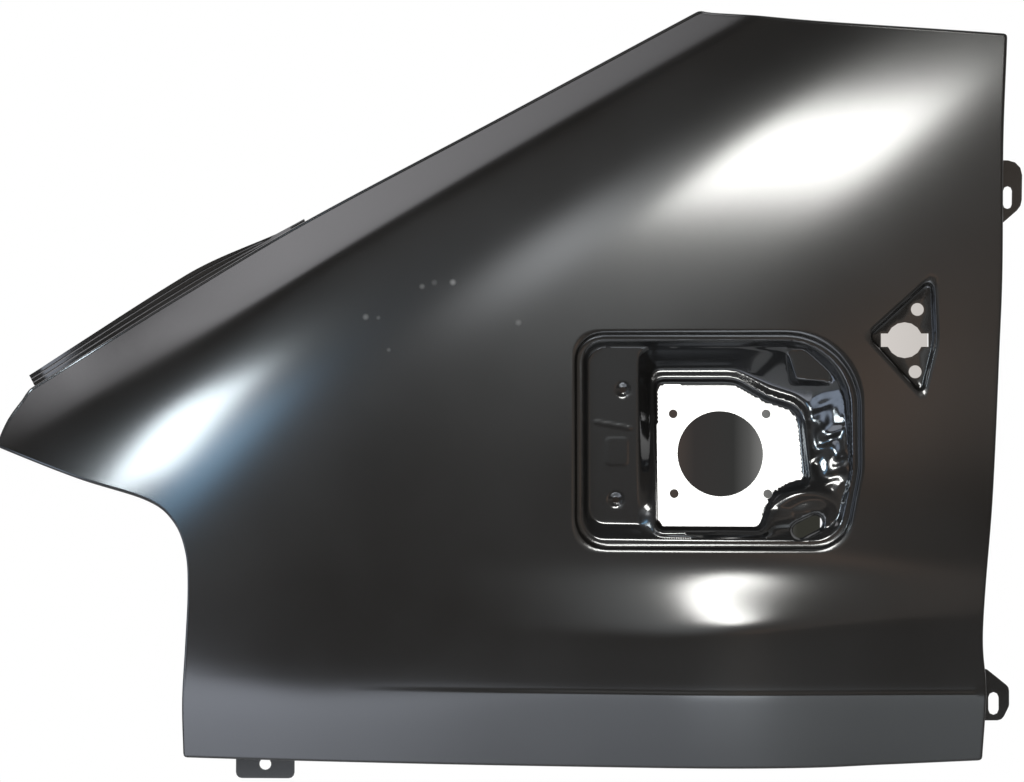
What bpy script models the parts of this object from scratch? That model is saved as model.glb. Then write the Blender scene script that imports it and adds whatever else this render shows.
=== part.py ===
"""Left front fender of a van: pressed outer skin, drawn fuel filler pocket, bonnet side rail, brackets.

All lengths in this file are millimetres and are turned into metres when a mesh is made.
+X runs rearwards, +Z runs up, and depth runs inboard along +Y from the outermost part of the skin.
Every piece is a sheet: a flat net of points, lifted to its pressed depth, then given its thickness.
"""
import math

import bmesh
import bpy
import numpy as np
from mathutils import Vector
from mathutils.geometry import delaunay_2d_cdt

# Main sizes of the outer skin, seen square on
FENDER_LENGTH = 861.5
FENDER_HEIGHT = 634.9

# Sheet thicknesses and the air between two welded sheets
SKIN_SHEET = 0.8
POCKET_SHEET = 0.8
BRACKET_SHEET = 1.5
RAIL_SHEET = 1.0
WELD_GAP = 0.3

# Edges of the skin as smooth curves: shares of its length from the nose, and of its height from the sill
LEADING_EDGE = ((0.0279, 0.4809), (0.0110, 0.4486), (0.0, 0.4116))
BUMPER_EDGE = ((0.0, 0.4116), (0.0907, 0.3697), (0.1630, 0.3415), (0.1909, 0.3139), (0.2037, 0.2737),
               (0.2064, 0.2229), (0.2043, 0.1493), (0.2014, 0.0753), (0.2023, 0.0020))
SILL_EDGE = ((0.2023, 0.0020), (0.5120, 0.0), (0.7782, 0.0006), (0.8730, 0.0044), (0.9720, 0.0099))
DOOR_EDGE = ((0.9720, 0.0099), (0.9749, 0.1014), (0.9719, 0.1805), (0.9817, 0.3471), (0.9887, 0.5410),
             (0.9920, 0.6447), (0.9942, 0.8138), (1.0, 0.9542))
SCREEN_EDGE = ((1.0, 0.9542), (0.8221, 0.9754), (0.7301, 0.9928), (0.7097, 1.0))
BONNET_EDGE = ((0.0308, 0.4895), (0.1017, 0.5473), (0.1892, 0.6203), (0.3091, 0.7159), (0.5115, 0.8582),
               (0.7097, 1.0))

# Plan curve of the panel: how it turns inboard towards the nose
PLAN_RADIUS = 5000.0
REAR_TOE = 0.0103
REAR_TANGENT = 0.988
NOSE_SWEEP = 42.0

# Shoulder: two points of the crease, the crown below it and the steep band above it
CREASE_REAR = (0.6999, 0.9354)
CREASE_FRONT = (0.0944, 0.4780)
CROWN_DEPTH = 62.0
CROWN_LENGTH = 0.197 * FENDER_HEIGHT
BAND_SLOPE = 0.85
BAND_FADE = 0.75
BAND_FADE_START = 0.637
BAND_FADE_RUN = 0.385
CREASE_SOFTNESS = 2.5
NOSE_SOFTNESS = 9.0
SOFTENING_START = 0.553
SOFTENING_RUN = 0.436

# Lower body line: flare, ridge that rises rearwards, and the sill band standing a step proud
FLARE_HEIGHT = 0.2614 * FENDER_HEIGHT
FLARE_SLOPE = 0.275
FLARE_BASE = 0.07
FLARE_SOFTNESS = 6.5
FLARE_MIDDLE = 0.747 * FENDER_LENGTH
FLARE_REACH = 0.125 * FENDER_LENGTH
RIDGE_HEIGHT = 0.1729 * FENDER_HEIGHT
RIDGE_RISE = 13.0
RIDGE_RISE_START = 0.62 * FENDER_LENGTH
RIDGE_RISE_RUN = 0.28 * FENDER_LENGTH
RIDGE_SOFTNESS = 3.5
SILL_CREASE_HEIGHT = 0.0989 * FENDER_HEIGHT
SILL_CREASE_SOFTNESS = 1.6
SILL_TUCK = 0.13
SILL_STEP = 1.0
SILL_STEP_HEIGHT = 3.5
LINE_START = 0.3494 * FENDER_LENGTH
LINE_FADE_LENGTH = 0.2554 * FENDER_LENGTH

# Return flange round the whole skin
EDGE_BEND_RADIUS = 2.2
RETURN_FLANGE = 14.0
CORNER_CUT = 3.5

# Filler opening in the skin: a sloping lip down to a landing
# All corners inside it are shares of its width and height, with radii as shares of its height
OPENING_PLACE = (0.5832, 0.2816)
OPENING_WIDTH = 236.2
OPENING_HEIGHT = 179.9
OPENING_CORNERS = ((0.0, 1.0, 0.133), (0.997, 1.0, 0.345), (1.0, 0.368, 0.334), (0.947, 0.0, 0.178),
                   (0.0, 0.0, 0.145))
LIP_DROP = 6.0
LIP_RUN = 2.8
LANDING_WIDTH = 3.4

# Filler pocket
POCKET_FLANGE = 5.0
POCKET_TOP_CORNERS = ((0.225, 0.939, 0.067), (0.756, 0.939, 0.167), (0.955, 0.773, 0.145),
                      (0.955, 0.239, 0.189), (0.862, 0.056, 0.133), (0.225, 0.056, 0.067))
STEP_CORNERS = ((0.278, 0.825, 0.044), (0.578, 0.825, 0.145), (0.697, 0.734, 0.145),
                (0.824, 0.684, 0.122), (0.849, 0.261, 0.078), (0.718, 0.239, 0.089),
                (0.663, 0.069, 0.044), (0.278, 0.069, 0.044))
FLOOR_TOP_CORNERS = ((0.284, 0.795, 0.039), (0.574, 0.795, 0.145), (0.688, 0.706, 0.145),
                     (0.813, 0.656, 0.111), (0.832, 0.278, 0.067), (0.707, 0.256, 0.089),
                     (0.657, 0.086, 0.033), (0.284, 0.086, 0.033))
FLOOR_CORNERS = ((0.297, 0.762, 0.033), (0.570, 0.762, 0.145), (0.680, 0.681, 0.145),
                 (0.794, 0.634, 0.100), (0.813, 0.289, 0.056), (0.701, 0.272, 0.089),
                 (0.648, 0.103, 0.028), (0.297, 0.103, 0.028))
FACET_OUTER_CORNERS = ((0.735, 0.939, 0.028), (0.815, 0.942, 0.044), (0.940, 0.784, 0.044),
                       (0.909, 0.750, 0.022), (0.765, 0.756, 0.028))
FACET_CORNERS = ((0.754, 0.917, 0.017), (0.807, 0.920, 0.033), (0.913, 0.792, 0.028),
                 (0.892, 0.778, 0.017), (0.782, 0.784, 0.022))
FACET_DEPTH = 28.0
FACET_TILT = 0.12
NECK_PLACE = (0.519, 0.437)
FLOOR_DEPTH = 50.0
FLOOR_TURN = -0.107
FLOOR_TILT = 0.25
FLOOR_STEP = 4.5
STEP_TILT = 0.38
LEDGE_CORNERS = ((0.052, 0.930, 0.075), (0.930, 0.930, 0.300), (0.962, 0.350, 0.250),
                 (0.905, 0.100, 0.100), (0.052, 0.128, 0.060))
LEDGE_PLACE = (0.130, 0.534)
LEDGE_DEPTH = 33.0
LEDGE_TURN = -0.065
LEDGE_TILT = 0.07
LEDGE_PAD_OUTER_CORNERS = ((0.106, 0.522, 0.022), (0.196, 0.522, 0.022), (0.196, 0.378, 0.022),
                           (0.106, 0.378, 0.022))
LEDGE_PAD_CORNERS = ((0.118, 0.506, 0.014), (0.184, 0.506, 0.014), (0.184, 0.394, 0.014),
                     (0.118, 0.394, 0.014))
LEDGE_PAD_RISE = 1.2
NECK_HOLE = 71.0
NECK_SCREW_HOLE = 7.4
NECK_SCREW_PITCH_X = 77.4
NECK_SCREW_PITCH_Z = 66.4
HINGE_SCREW_HOLE = 5.2
HINGE_DIMPLE = 14.0
HINGE_DIMPLE_DROP = 1.2
HINGE_SCREW_PLACES = ((0.172, 0.733), (0.147, 0.226))
BOSS_PLACE = (0.815, 0.106)
BOSS_TOP_RADIUS = 26.0
BOSS_FOOT_RADIUS = 37.0
BOSS_DEPTH = 15.5
DRAIN_LENGTH = 26.0
DRAIN_WIDTH = 12.0
DRAIN_ANGLE = math.radians(27.0)
DRAIN_COLLAR = 3.0
DRAIN_DROP = 3.0

# Side lamp recess near the door edge, its corners given like those of the opening
LAMP_PLACE = (0.8613, 0.4785)
LAMP_WIDTH = 58.5
LAMP_HEIGHT = 103.0
LAMP_CORNERS = ((0.0, 0.500, 0.068), (0.966, 1.0, 0.058), (1.0, 0.447, 0.583), (0.803, 0.0, 0.049))
LAMP_DROP = 7.0
LAMP_WALL = 3.2
LAMP_HOLE_PLACE = (0.556, 0.465)
LAMP_HOLE = 29.6
LAMP_EAR_SPAN = 39.0
LAMP_EAR_HEIGHT = 11.0
LAMP_SCREW_HOLE = 10.6
LAMP_SCREW_PLACES = ((0.737, 0.711), (0.701, 0.212))

# Bonnet side rail, a stepped strip behind the front part of the bonnet edge
RAIL_START = 0.0348 * FENDER_LENGTH
RAIL_END = 0.3192 * FENDER_LENGTH
RAIL_HEIGHT = 15.0
RAIL_END_HEIGHT = 3.0
RAIL_TAPER = 0.42
RAIL_NOSE_DROP = 0.25
RAIL_STEP = 2.0
RAIL_STEP_RUN = 1.6
RAIL_FOOT = 9.0
RAIL_CLEARANCE = 1.0

# Rear brackets and the bottom bracket: a foot inside the return flange and a tab turned past its end
BRACKET_BEND = 1.5
BRACKET_FOOT = 10.0
FOOT_CORNER = 3.0
UPPER_TAB_HEIGHT = 0.7077 * FENDER_HEIGHT
UPPER_TAB_WIDTH = 52.0
UPPER_TAB_REACH = 18.5
UPPER_TAB_CORNER = 12.0
UPPER_TAB_TAPER = 14.0
UPPER_TAB_ROOT = 3.0
UPPER_SLOT_REACH = 6.6
UPPER_SLOT_ALONG = 21.1
UPPER_SLOT_LENGTH = 18.8
UPPER_SLOT_WIDTH = 7.4
LOWER_TAB_HEIGHT = 0.0595 * FENDER_HEIGHT
LOWER_TAB_WIDTH = 42.5
LOWER_TAB_REACH = 22.5
LOWER_TAB_CORNER = 6.0
LOWER_TAB_TOP_TAPER = 15.0
LOWER_TAB_BOTTOM_TAPER = 12.0
LOWER_TAB_ROOT = 4.0
LOWER_SLOT_REACH = 9.6
LOWER_SLOT_ALONG = 14.0
LOWER_SLOT_LENGTH = 18.8
LOWER_SLOT_WIDTH = 8.6
BOTTOM_TAB_START = 0.2530 * FENDER_LENGTH
BOTTOM_TAB_WIDTH = 49.5
BOTTOM_TAB_REACH = 18.0
BOTTOM_TAB_CORNER = 5.0
BOTTOM_HOLE = 10.0
BOTTOM_HOLE_REACH = 6.0

# Net spacing
EDGE_STEP = 17.0
GRID_STEP = 29.0
OPENING_STEP = 15.0
LAMP_STEP = 9.0
POCKET_STEP = 11.0
POCKET_WALL_STEP = 8.0
FINE_STEP = 6.0
EDGE_CLEARANCE = 3.0
FOLD_POINTS = 5
SMALLEST_EDGE = 0.2
SMALLEST_AREA = 0.001


def on_panel(shares):
    """Place on the panel, from shares of its length and height."""
    return shares[0] * FENDER_LENGTH, shares[1] * FENDER_HEIGHT


def in_frame(shares, place, width, height):
    """Place in a box whose lower front corner is given, from shares of its width and height."""
    x, z = on_panel(place)
    return x + shares[0] * width, z + shares[1] * height


def in_opening(shares):
    return in_frame(shares, OPENING_PLACE, OPENING_WIDTH, OPENING_HEIGHT)


def in_lamp(shares):
    return in_frame(shares, LAMP_PLACE, LAMP_WIDTH, LAMP_HEIGHT)


REAR_TANGENT_X = REAR_TANGENT * FENDER_LENGTH
CREASE_REAR_POINT = on_panel(CREASE_REAR)
CREASE_FRONT_POINT = on_panel(CREASE_FRONT)
CREASE_LENGTH = math.dist(CREASE_REAR_POINT, CREASE_FRONT_POINT)
CREASE_RISE = CREASE_REAR_POINT[1] - CREASE_FRONT_POINT[1]
CREASE_ANGLE = math.asin(CREASE_RISE / CREASE_LENGTH)
NECK_CENTRE = in_opening(NECK_PLACE)
LEDGE_CENTRE = in_opening(LEDGE_PLACE)
BOSS_CENTRE = in_opening(BOSS_PLACE)
HINGE_SCREWS = [in_opening(p) for p in HINGE_SCREW_PLACES]
LAMP_CENTRE = in_lamp(LAMP_HOLE_PLACE)
LAMP_SCREWS = [in_lamp(p) for p in LAMP_SCREW_PLACES]
POCKET_FACE = LIP_DROP + SKIN_SHEET + WELD_GAP
CAVITY_INSET = LIP_RUN + LANDING_WIDTH + 0.5


def soft_turn(distance, softness):
    """Zero on one side, a straight slope on the other, with a rounded change between them."""
    return softness * np.logaddexp(0.0, distance / softness)


def smooth_step(t):
    t = np.clip(t, 0.0, 1.0)
    return t * t * (3.0 - 2.0 * t)


def crease_coordinates(x, z):
    """Distance along the shoulder crease, and distance below it."""
    dx = x - CREASE_REAR_POINT[0]
    dz = z - CREASE_REAR_POINT[1]
    along = dx * math.cos(CREASE_ANGLE) + dz * math.sin(CREASE_ANGLE)
    below = dx * math.sin(CREASE_ANGLE) - dz * math.cos(CREASE_ANGLE)
    return along, below


def plan_depth(x):
    ahead = REAR_TANGENT_X - x
    sweep = NOSE_SWEEP * (np.maximum(ahead, 0.0) / FENDER_LENGTH) ** 4
    return ahead * ahead / (2.0 * PLAN_RADIUS) - REAR_TOE * ahead + sweep


def shoulder_depth(x, z):
    along, below = crease_coordinates(x, z)
    slope = CROWN_DEPTH / CROWN_LENGTH
    crown = CROWN_DEPTH * np.exp(-np.maximum(below, 0.0) / CROWN_LENGTH) + slope * np.maximum(-below, 0.0)
    share = -along / CREASE_LENGTH
    softness = CREASE_SOFTNESS + NOSE_SOFTNESS * smooth_step((share - SOFTENING_START) / SOFTENING_RUN)
    rise = BAND_SLOPE * (1.0 - BAND_FADE * smooth_step((share - BAND_FADE_START) / BAND_FADE_RUN))
    return crown + rise * soft_turn(-below, softness)


def ridge_height(x):
    """Height of the ridge below the flare: level at first, rising towards the door edge."""
    return RIDGE_HEIGHT + RIDGE_RISE * smooth_step((x - RIDGE_RISE_START) / RIDGE_RISE_RUN)


def body_line_depth(x, z):
    """Flare above the ridge, and the sill band that stands a step proud below its crease and tucks under."""
    strength = smooth_step((x - LINE_START) / LINE_FADE_LENGTH)
    bulge = np.exp(-((x - FLARE_MIDDLE) / FLARE_REACH) ** 2)
    flare = strength * (FLARE_BASE + (FLARE_SLOPE - FLARE_BASE) * bulge)
    above_ridge = soft_turn(FLARE_HEIGHT - z, FLARE_SOFTNESS) - soft_turn(ridge_height(x) - z, RIDGE_SOFTNESS)
    below_crease = SILL_CREASE_HEIGHT - z
    softness = SILL_CREASE_SOFTNESS + NOSE_SOFTNESS * (1.0 - strength)
    tuck = SILL_TUCK * soft_turn(below_crease, softness)
    proud = SILL_STEP * strength * smooth_step(0.5 + below_crease / SILL_STEP_HEIGHT)
    return tuck - flare * above_ridge - proud


def body_depth(x, z):
    """Depth of the skin's outer face before anything is pressed into it."""
    return plan_depth(x) + shoulder_depth(x, z) + body_line_depth(x, z)


def body_depth_at(point):
    return float(body_depth(np.array([point[0]]), np.array([point[1]]))[0])


def resample(points, step):
    """Even points along an open polyline, ends kept."""
    points = np.asarray(points, float)
    lengths = np.concatenate(([0.0], np.cumsum(np.hypot(*np.diff(points, axis=0).T))))
    count = max(1, round(lengths[-1] / step))
    marks = np.linspace(0.0, lengths[-1], count + 1)
    return np.column_stack([np.interp(marks, lengths, points[:, k]) for k in (0, 1)])


def spline(points, step):
    """Smooth curve through the given points (Catmull-Rom), evenly sampled."""
    knots = [np.array(p, float) for p in points]
    knots = [2 * knots[0] - knots[1]] + knots + [2 * knots[-1] - knots[-2]]
    fine = [knots[1]]
    for a, b, c, d in zip(knots, knots[1:], knots[2:], knots[3:]):
        for t in np.linspace(0.0, 1.0, 13)[1:]:
            fine.append(0.5 * (2 * b + (c - a) * t + (2 * a - 5 * b + 4 * c - d) * t * t
                               + (3 * b - a - 3 * c + d) * t ** 3))
    return resample(fine, step)


def rounded_outline(corners, inset, step):
    """Closed outline, anticlockwise: straight sides moved in by inset, corners rounded to suit."""
    points = [np.array(c[:2], float) for c in corners]
    radii = [c[2] for c in corners]
    area = sum(p[0] * q[1] - q[0] * p[1] for p, q in zip(points, points[1:] + points[:1]))
    if area < 0:
        points.reverse()
        radii.reverse()
    count = len(points)
    directions = []
    for i in range(count):
        d = points[(i + 1) % count] - points[i]
        directions.append(d / np.hypot(*d))
    outline = []
    for i in range(count):
        before = directions[i - 1]
        after = directions[i]
        left_before = np.array([-before[1], before[0]])
        left_after = np.array([-after[1], after[0]])
        sine = before[0] * after[1] - before[1] * after[0]
        cosine = float(before @ after)
        corner = points[i] + inset * (left_before + left_after) / (1.0 + cosine)
        if abs(sine) < 0.01:
            outline.append(corner)
            continue
        radius = max(radii[i] - math.copysign(inset, sine), 0.6)
        reach = radius * abs(math.tan(math.atan2(sine, cosine) / 2.0))
        side = math.copysign(1.0, sine)
        centre = corner - before * reach + side * radius * left_before
        start = math.atan2(*(-side * left_before)[::-1])
        sweep = math.atan2(sine, cosine)
        pieces = max(2, round(abs(sweep) * radius / step), round(abs(sweep) / 0.45))
        for k in range(pieces + 1):
            angle = start + sweep * k / pieces
            outline.append(centre + radius * np.array([math.cos(angle), math.sin(angle)]))
    closed = outline + outline[:1]
    filled = []
    for p, q in zip(closed, closed[1:]):
        parts = max(1, round(float(np.hypot(*(q - p))) / step))
        filled += [p + (q - p) * k / parts for k in range(parts)]
    return np.array(filled)


def circle(centre, diameter, count):
    angles = [2 * math.pi * k / count for k in range(count)]
    return np.array([(centre[0] + diameter / 2 * math.cos(a), centre[1] + diameter / 2 * math.sin(a))
                     for a in angles])


def slot(centre, length, width, angle, arc_points):
    """Obround outline, anticlockwise, its long axis turned by angle."""
    half = (length - width) / 2
    radius = width / 2
    axis = np.array([math.cos(angle), math.sin(angle)])
    outline = []
    for end in (1, -1):
        for k in range(arc_points + 1):
            a = angle + (math.pi if end < 0 else 0.0) - math.pi / 2 + math.pi * k / arc_points
            tip = np.array(centre) + end * half * axis
            outline.append(tip + radius * np.array([math.cos(a), math.sin(a)]))
    return np.array(outline)


def signed_distance(points, loop):
    """Distance from each point to a closed outline, positive inside it."""
    a = np.asarray(loop, float)
    b = np.roll(a, -1, axis=0)
    best = np.full(len(points), 1e9)
    inside = np.zeros(len(points), bool)
    px = points[:, 0]
    pz = points[:, 1]
    for (ax, az), (bx, bz) in zip(a, b):
        dx = bx - ax
        dz = bz - az
        t = np.clip(((px - ax) * dx + (pz - az) * dz) / (dx * dx + dz * dz), 0.0, 1.0)
        best = np.minimum(best, np.hypot(px - ax - t * dx, pz - az - t * dz))
        crosses = (az > pz) != (bz > pz)
        inside ^= crosses & (px < ax + (pz - az) * dx / (dz if dz else 1.0))
    return np.where(inside, best, -best)


def wall_profile(t):
    """Rounded foot and rounded shoulder of a pressed wall, straight between them."""
    ease = 0.3
    slope = 1.0 / (1.0 - ease)
    low = slope * t * t / (2 * ease)
    high = 1.0 - slope * (1.0 - t) ** 2 / (2 * ease)
    return np.where(t < ease, low, np.where(t > 1.0 - ease, high, slope * (t - ease / 2)))


def press(points, depth, outer, inner, target):
    """Push the sheet to the target depth inside inner, with a wall between outer and inner."""
    into = np.maximum(signed_distance(points, outer), 0.0)
    short = np.maximum(-signed_distance(points, inner), 0.0)
    t = into / np.maximum(into + short, 1e-6)
    return depth + wall_profile(t) * (target - depth)


def opening_outline(inset, step, corners=OPENING_CORNERS):
    return rounded_outline([(*in_opening(c), c[2] * OPENING_HEIGHT) for c in corners], inset, step)


def lamp_outline(inset, step):
    return rounded_outline([(*in_lamp(c), c[2] * LAMP_HEIGHT) for c in LAMP_CORNERS], inset, step)


def lamp_floor_depth(points):
    """Flat floor of the side lamp recess, parallel to the skin at its centre."""
    x0, z0 = LAMP_CENTRE
    here = body_depth_at(LAMP_CENTRE)
    reach = LAMP_HOLE / 3
    slope_x = (body_depth_at((x0 + reach, z0)) - here) / reach
    slope_z = (body_depth_at((x0, z0 + reach)) - here) / reach
    return here + LAMP_DROP + slope_x * (points[:, 0] - x0) + slope_z * (points[:, 1] - z0)


def skin_depth(points):
    depth = body_depth(points[:, 0], points[:, 1])
    rim = opening_outline(0.0, FINE_STEP)
    landing = opening_outline(LIP_RUN, FINE_STEP)
    depth = press(points, depth, rim, landing, depth + LIP_DROP)
    recess = lamp_outline(0.0, FINE_STEP)
    recess_floor = lamp_outline(LAMP_WALL, FINE_STEP)
    return press(points, depth, recess, recess_floor, lamp_floor_depth(points))


def floor_plane(points):
    x0, z0 = NECK_CENTRE
    return FLOOR_DEPTH + FLOOR_TURN * (points[:, 0] - x0) + FLOOR_TILT * (points[:, 1] - z0)


def ledge_plane(points):
    x0, z0 = LEDGE_CENTRE
    return LEDGE_DEPTH + LEDGE_TURN * (points[:, 0] - x0) + LEDGE_TILT * (points[:, 1] - z0)


def step_plane(points):
    """Step band round the floor: it meets the floor's top edge a step out, and leans more than the floor."""
    edge_height = in_opening(FLOOR_TOP_CORNERS[0])[1]
    lean = (STEP_TILT - FLOOR_TILT) * (points[:, 1] - edge_height)
    return floor_plane(points) - FLOOR_STEP + lean


def pocket_depth(points):
    depth = body_depth(points[:, 0], points[:, 1]) + POCKET_FACE
    facet = FACET_DEPTH + FACET_TILT * (points[:, 1] - in_opening(FACET_CORNERS[-1])[1])
    cavity = opening_outline(CAVITY_INSET, FINE_STEP)
    ledge = opening_outline(0.0, FINE_STEP, LEDGE_CORNERS)
    depth = press(points, depth, cavity, ledge, ledge_plane(points))
    for outer, inner, target in ((POCKET_TOP_CORNERS, STEP_CORNERS, step_plane(points)),
                                 (FACET_OUTER_CORNERS, FACET_CORNERS, facet),
                                 (FLOOR_TOP_CORNERS, FLOOR_CORNERS, floor_plane(points)),
                                 (LEDGE_PAD_OUTER_CORNERS, LEDGE_PAD_CORNERS, depth - LEDGE_PAD_RISE)):
        outer_outline = opening_outline(0.0, FINE_STEP, outer)
        depth = press(points, depth, outer_outline, opening_outline(0.0, FINE_STEP, inner), target)
    from_boss = np.hypot(points[:, 0] - BOSS_CENTRE[0], points[:, 1] - BOSS_CENTRE[1])
    t = np.clip((BOSS_FOOT_RADIUS - from_boss) / (BOSS_FOOT_RADIUS - BOSS_TOP_RADIUS), 0.0, 1.0)
    raised = depth + wall_profile(t) * (BOSS_DEPTH - depth)
    depth = np.minimum(depth, raised)
    to_drain = signed_distance(points, slot(BOSS_CENTRE, DRAIN_LENGTH, DRAIN_WIDTH, DRAIN_ANGLE, 8))
    depth = depth + DRAIN_DROP * wall_profile(np.clip(1.0 + to_drain / DRAIN_COLLAR, 0.0, 1.0))
    for centre in HINGE_SCREWS:
        away = np.hypot(points[:, 0] - centre[0], points[:, 1] - centre[1])
        dish = (HINGE_DIMPLE / 2 - away) / (HINGE_DIMPLE / 2 - HINGE_SCREW_HOLE / 2)
        depth = depth + HINGE_DIMPLE_DROP * wall_profile(np.clip(dish, 0.0, 1.0))
    return depth


def hex_grid(low, high, step):
    rows = np.arange(low[1], high[1], step * math.sqrt(3) / 2)
    points = []
    for i, z in enumerate(rows):
        for x in np.arange(low[0] + (i % 2) * step / 2, high[0], step):
            points.append((x, z))
    return np.array(points)


def clear_of(points, nets, distance):
    """Points that keep a distance from every point of the given nets."""
    others = np.vstack(nets)
    keep = np.ones(len(points), bool)
    for start in range(0, len(points), 2000):
        block = points[start:start + 2000]
        gaps = np.hypot(block[:, None, 0] - others[None, :, 0], block[:, None, 1] - others[None, :, 1])
        keep[start:start + 2000] = gaps.min(axis=1) > distance
    return points[keep]


def triangulate(boundary, holes, rings, lines, loose):
    """Net of triangles inside the boundary and outside the holes, with the given rings and lines as edges."""
    points = []
    edges = []
    for loop in [boundary] + holes + rings:
        start = len(points)
        points += [Vector(p) for p in loop]
        edges += [(start + i, start + (i + 1) % len(loop)) for i in range(len(loop))]
    for line in lines:
        start = len(points)
        points += [Vector(p) for p in line]
        edges += [(start + i, start + i + 1) for i in range(len(line) - 1)]
    points += [Vector(p) for p in loose]
    out_points, _, faces, origin, _, _ = delaunay_2d_cdt(points, edges, [], 0, 1e-4)
    net = np.array([(p.x, p.y) for p in out_points])
    triangles = np.array([f[:] for f in faces])
    centres = net[triangles].mean(axis=1)
    keep = signed_distance(centres, boundary) > 0
    for hole in holes:
        keep &= signed_distance(centres, hole) < 0
    a, b, c = (net[triangles[:, k]] for k in range(3))
    area = ((b[:, 0] - a[:, 0]) * (c[:, 1] - a[:, 1]) - (b[:, 1] - a[:, 1]) * (c[:, 0] - a[:, 0])) / 2
    triangles[area < 0] = triangles[area < 0][:, ::-1]
    triangles = triangles[keep & (np.abs(area) > SMALLEST_AREA)]
    place = {source: i for i, sources in enumerate(origin) for source in sources}
    rim = [place[i] for i in range(len(boundary))]
    return net, triangles.tolist(), rim


def add_material(obj, name, colour, roughness, metallic):
    material = bpy.data.materials.new(name)
    material.use_nodes = True
    shader = material.node_tree.nodes["Principled BSDF"]
    shader.inputs["Base Color"].default_value = (*colour, 1.0)
    shader.inputs["Roughness"].default_value = roughness
    shader.inputs["Metallic"].default_value = metallic
    obj.data.materials.append(material)


def sheet_object(name, points, triangles, thickness, origin, material):
    """Closed solid: the given net is the outer face, the thickness lies behind it."""
    mesh = bpy.data.meshes.new(name)
    mesh.from_pydata([((p[0] - origin[0]) / 1000, (p[1] - origin[1]) / 1000, (p[2] - origin[2]) / 1000)
                      for p in points], [], triangles)
    net = bmesh.new()
    net.from_mesh(mesh)
    bmesh.ops.delete(net, geom=[v for v in net.verts if not v.link_faces], context="VERTS")
    bmesh.ops.remove_doubles(net, verts=net.verts, dist=SMALLEST_EDGE / 1000)
    bmesh.ops.dissolve_degenerate(net, edges=net.edges, dist=SMALLEST_EDGE / 1000)
    bmesh.ops.triangulate(net, faces=net.faces)
    net.to_mesh(mesh)
    net.free()
    obj = bpy.data.objects.new(name, mesh)
    bpy.context.scene.collection.objects.link(obj)
    solid = obj.modifiers.new("Sheet thickness", "SOLIDIFY")
    solid.thickness = thickness / 1000
    solid.offset = -1.0
    solid.use_even_offset = True
    solid.use_quality_normals = True
    mesh.shade_smooth()
    mesh.set_sharp_from_angle(angle=math.radians(35))
    add_material(obj, *material)
    return obj


def edge(knots, step):
    """Edge curve of the skin through knots given as shares of the panel."""
    return spline([on_panel(k) for k in knots], step)


def skin_sides(step):
    """The six edges of the skin in anticlockwise order, each an open curve."""
    sides = [edge(k, step) for k in (LEADING_EDGE, BUMPER_EDGE, SILL_EDGE, DOOR_EDGE, SCREEN_EDGE)]
    return sides + [edge(BONNET_EDGE, step)[::-1]]


def skin_outline(step, inset):
    """Closed outline of the skin with rounded corners, moved in by inset."""
    sides = skin_sides(step)
    loop = []
    for side, following in zip(sides, sides[1:] + sides[:1]):
        from_ends = np.minimum(np.hypot(*(side - side[0]).T), np.hypot(*(side - side[-1]).T))
        back = side[-2] - side[-1]
        on = following[1] - following[0]
        into = side[-1] + back / np.hypot(*back) * CORNER_CUT
        away = following[0] + on / np.hypot(*on) * CORNER_CUT
        loop += list(side[from_ends > CORNER_CUT * 1.2])
        for t in (0.0, 0.33, 0.67, 1.0):
            loop.append((1 - t) ** 2 * into + 2 * t * (1 - t) * side[-1] + t * t * away)
    loop = np.array(loop)
    ahead = np.roll(loop, -1, axis=0) - loop
    ahead /= np.hypot(ahead[:, 0], ahead[:, 1])[:, None]
    behind = np.roll(ahead, 1, axis=0)
    left = np.column_stack([-(ahead + behind)[:, 1], (ahead + behind)[:, 0]])
    left /= np.hypot(left[:, 0], left[:, 1])[:, None]
    return loop + inset * left


def feature_lines(step, boundary):
    """Points along the crease and the body lines, so that the net bends where the skin bends."""
    lines = []
    across = [CREASE_SOFTNESS * k for k in (-5.6, -2.4, -0.6, 1.0, 3.2, 7.2)]
    marks = np.arange(-1.1 * CREASE_LENGTH, 0.2 * CREASE_LENGTH, step)
    for below in across:
        x = CREASE_REAR_POINT[0] + marks * math.cos(CREASE_ANGLE) + below * math.sin(CREASE_ANGLE)
        z = CREASE_REAR_POINT[1] + marks * math.sin(CREASE_ANGLE) - below * math.cos(CREASE_ANGLE)
        lines.append(np.column_stack([x, z]))
    marks = np.arange(0.0, FENDER_LENGTH, step)
    for k in (6.0, 2.3, 0.6, -0.9, -2.6):
        lines.append(np.column_stack([marks, ridge_height(marks) + RIDGE_SOFTNESS * k]))
    for k in (5.6, 1.4, -1.4, -5.6):
        height = SILL_CREASE_HEIGHT + SILL_CREASE_SOFTNESS * k
        lines.append(np.column_stack([marks, np.full(len(marks), height)]))
    kept = []
    for line in lines:
        inside = line[signed_distance(line, boundary) > step * 0.3]
        kept.append(inside)
    return kept


def lamp_hole_outline():
    """Bayonet hole: a round hole with two square ears."""
    radius = LAMP_HOLE / 2
    half = math.asin(LAMP_EAR_HEIGHT / 2 / radius)
    outline = []
    for side in (0.0, math.pi):
        for a in np.linspace(side + half, side + math.pi - half, 7):
            outline.append((LAMP_CENTRE[0] + radius * math.cos(a), LAMP_CENTRE[1] + radius * math.sin(a)))
        ear = -1 if side == 0.0 else 1
        x = LAMP_CENTRE[0] + ear * LAMP_EAR_SPAN / 2
        for down in (ear, -ear):
            outline.append((x, LAMP_CENTRE[1] - down * LAMP_EAR_HEIGHT / 2))
    return np.array(outline)


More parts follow.
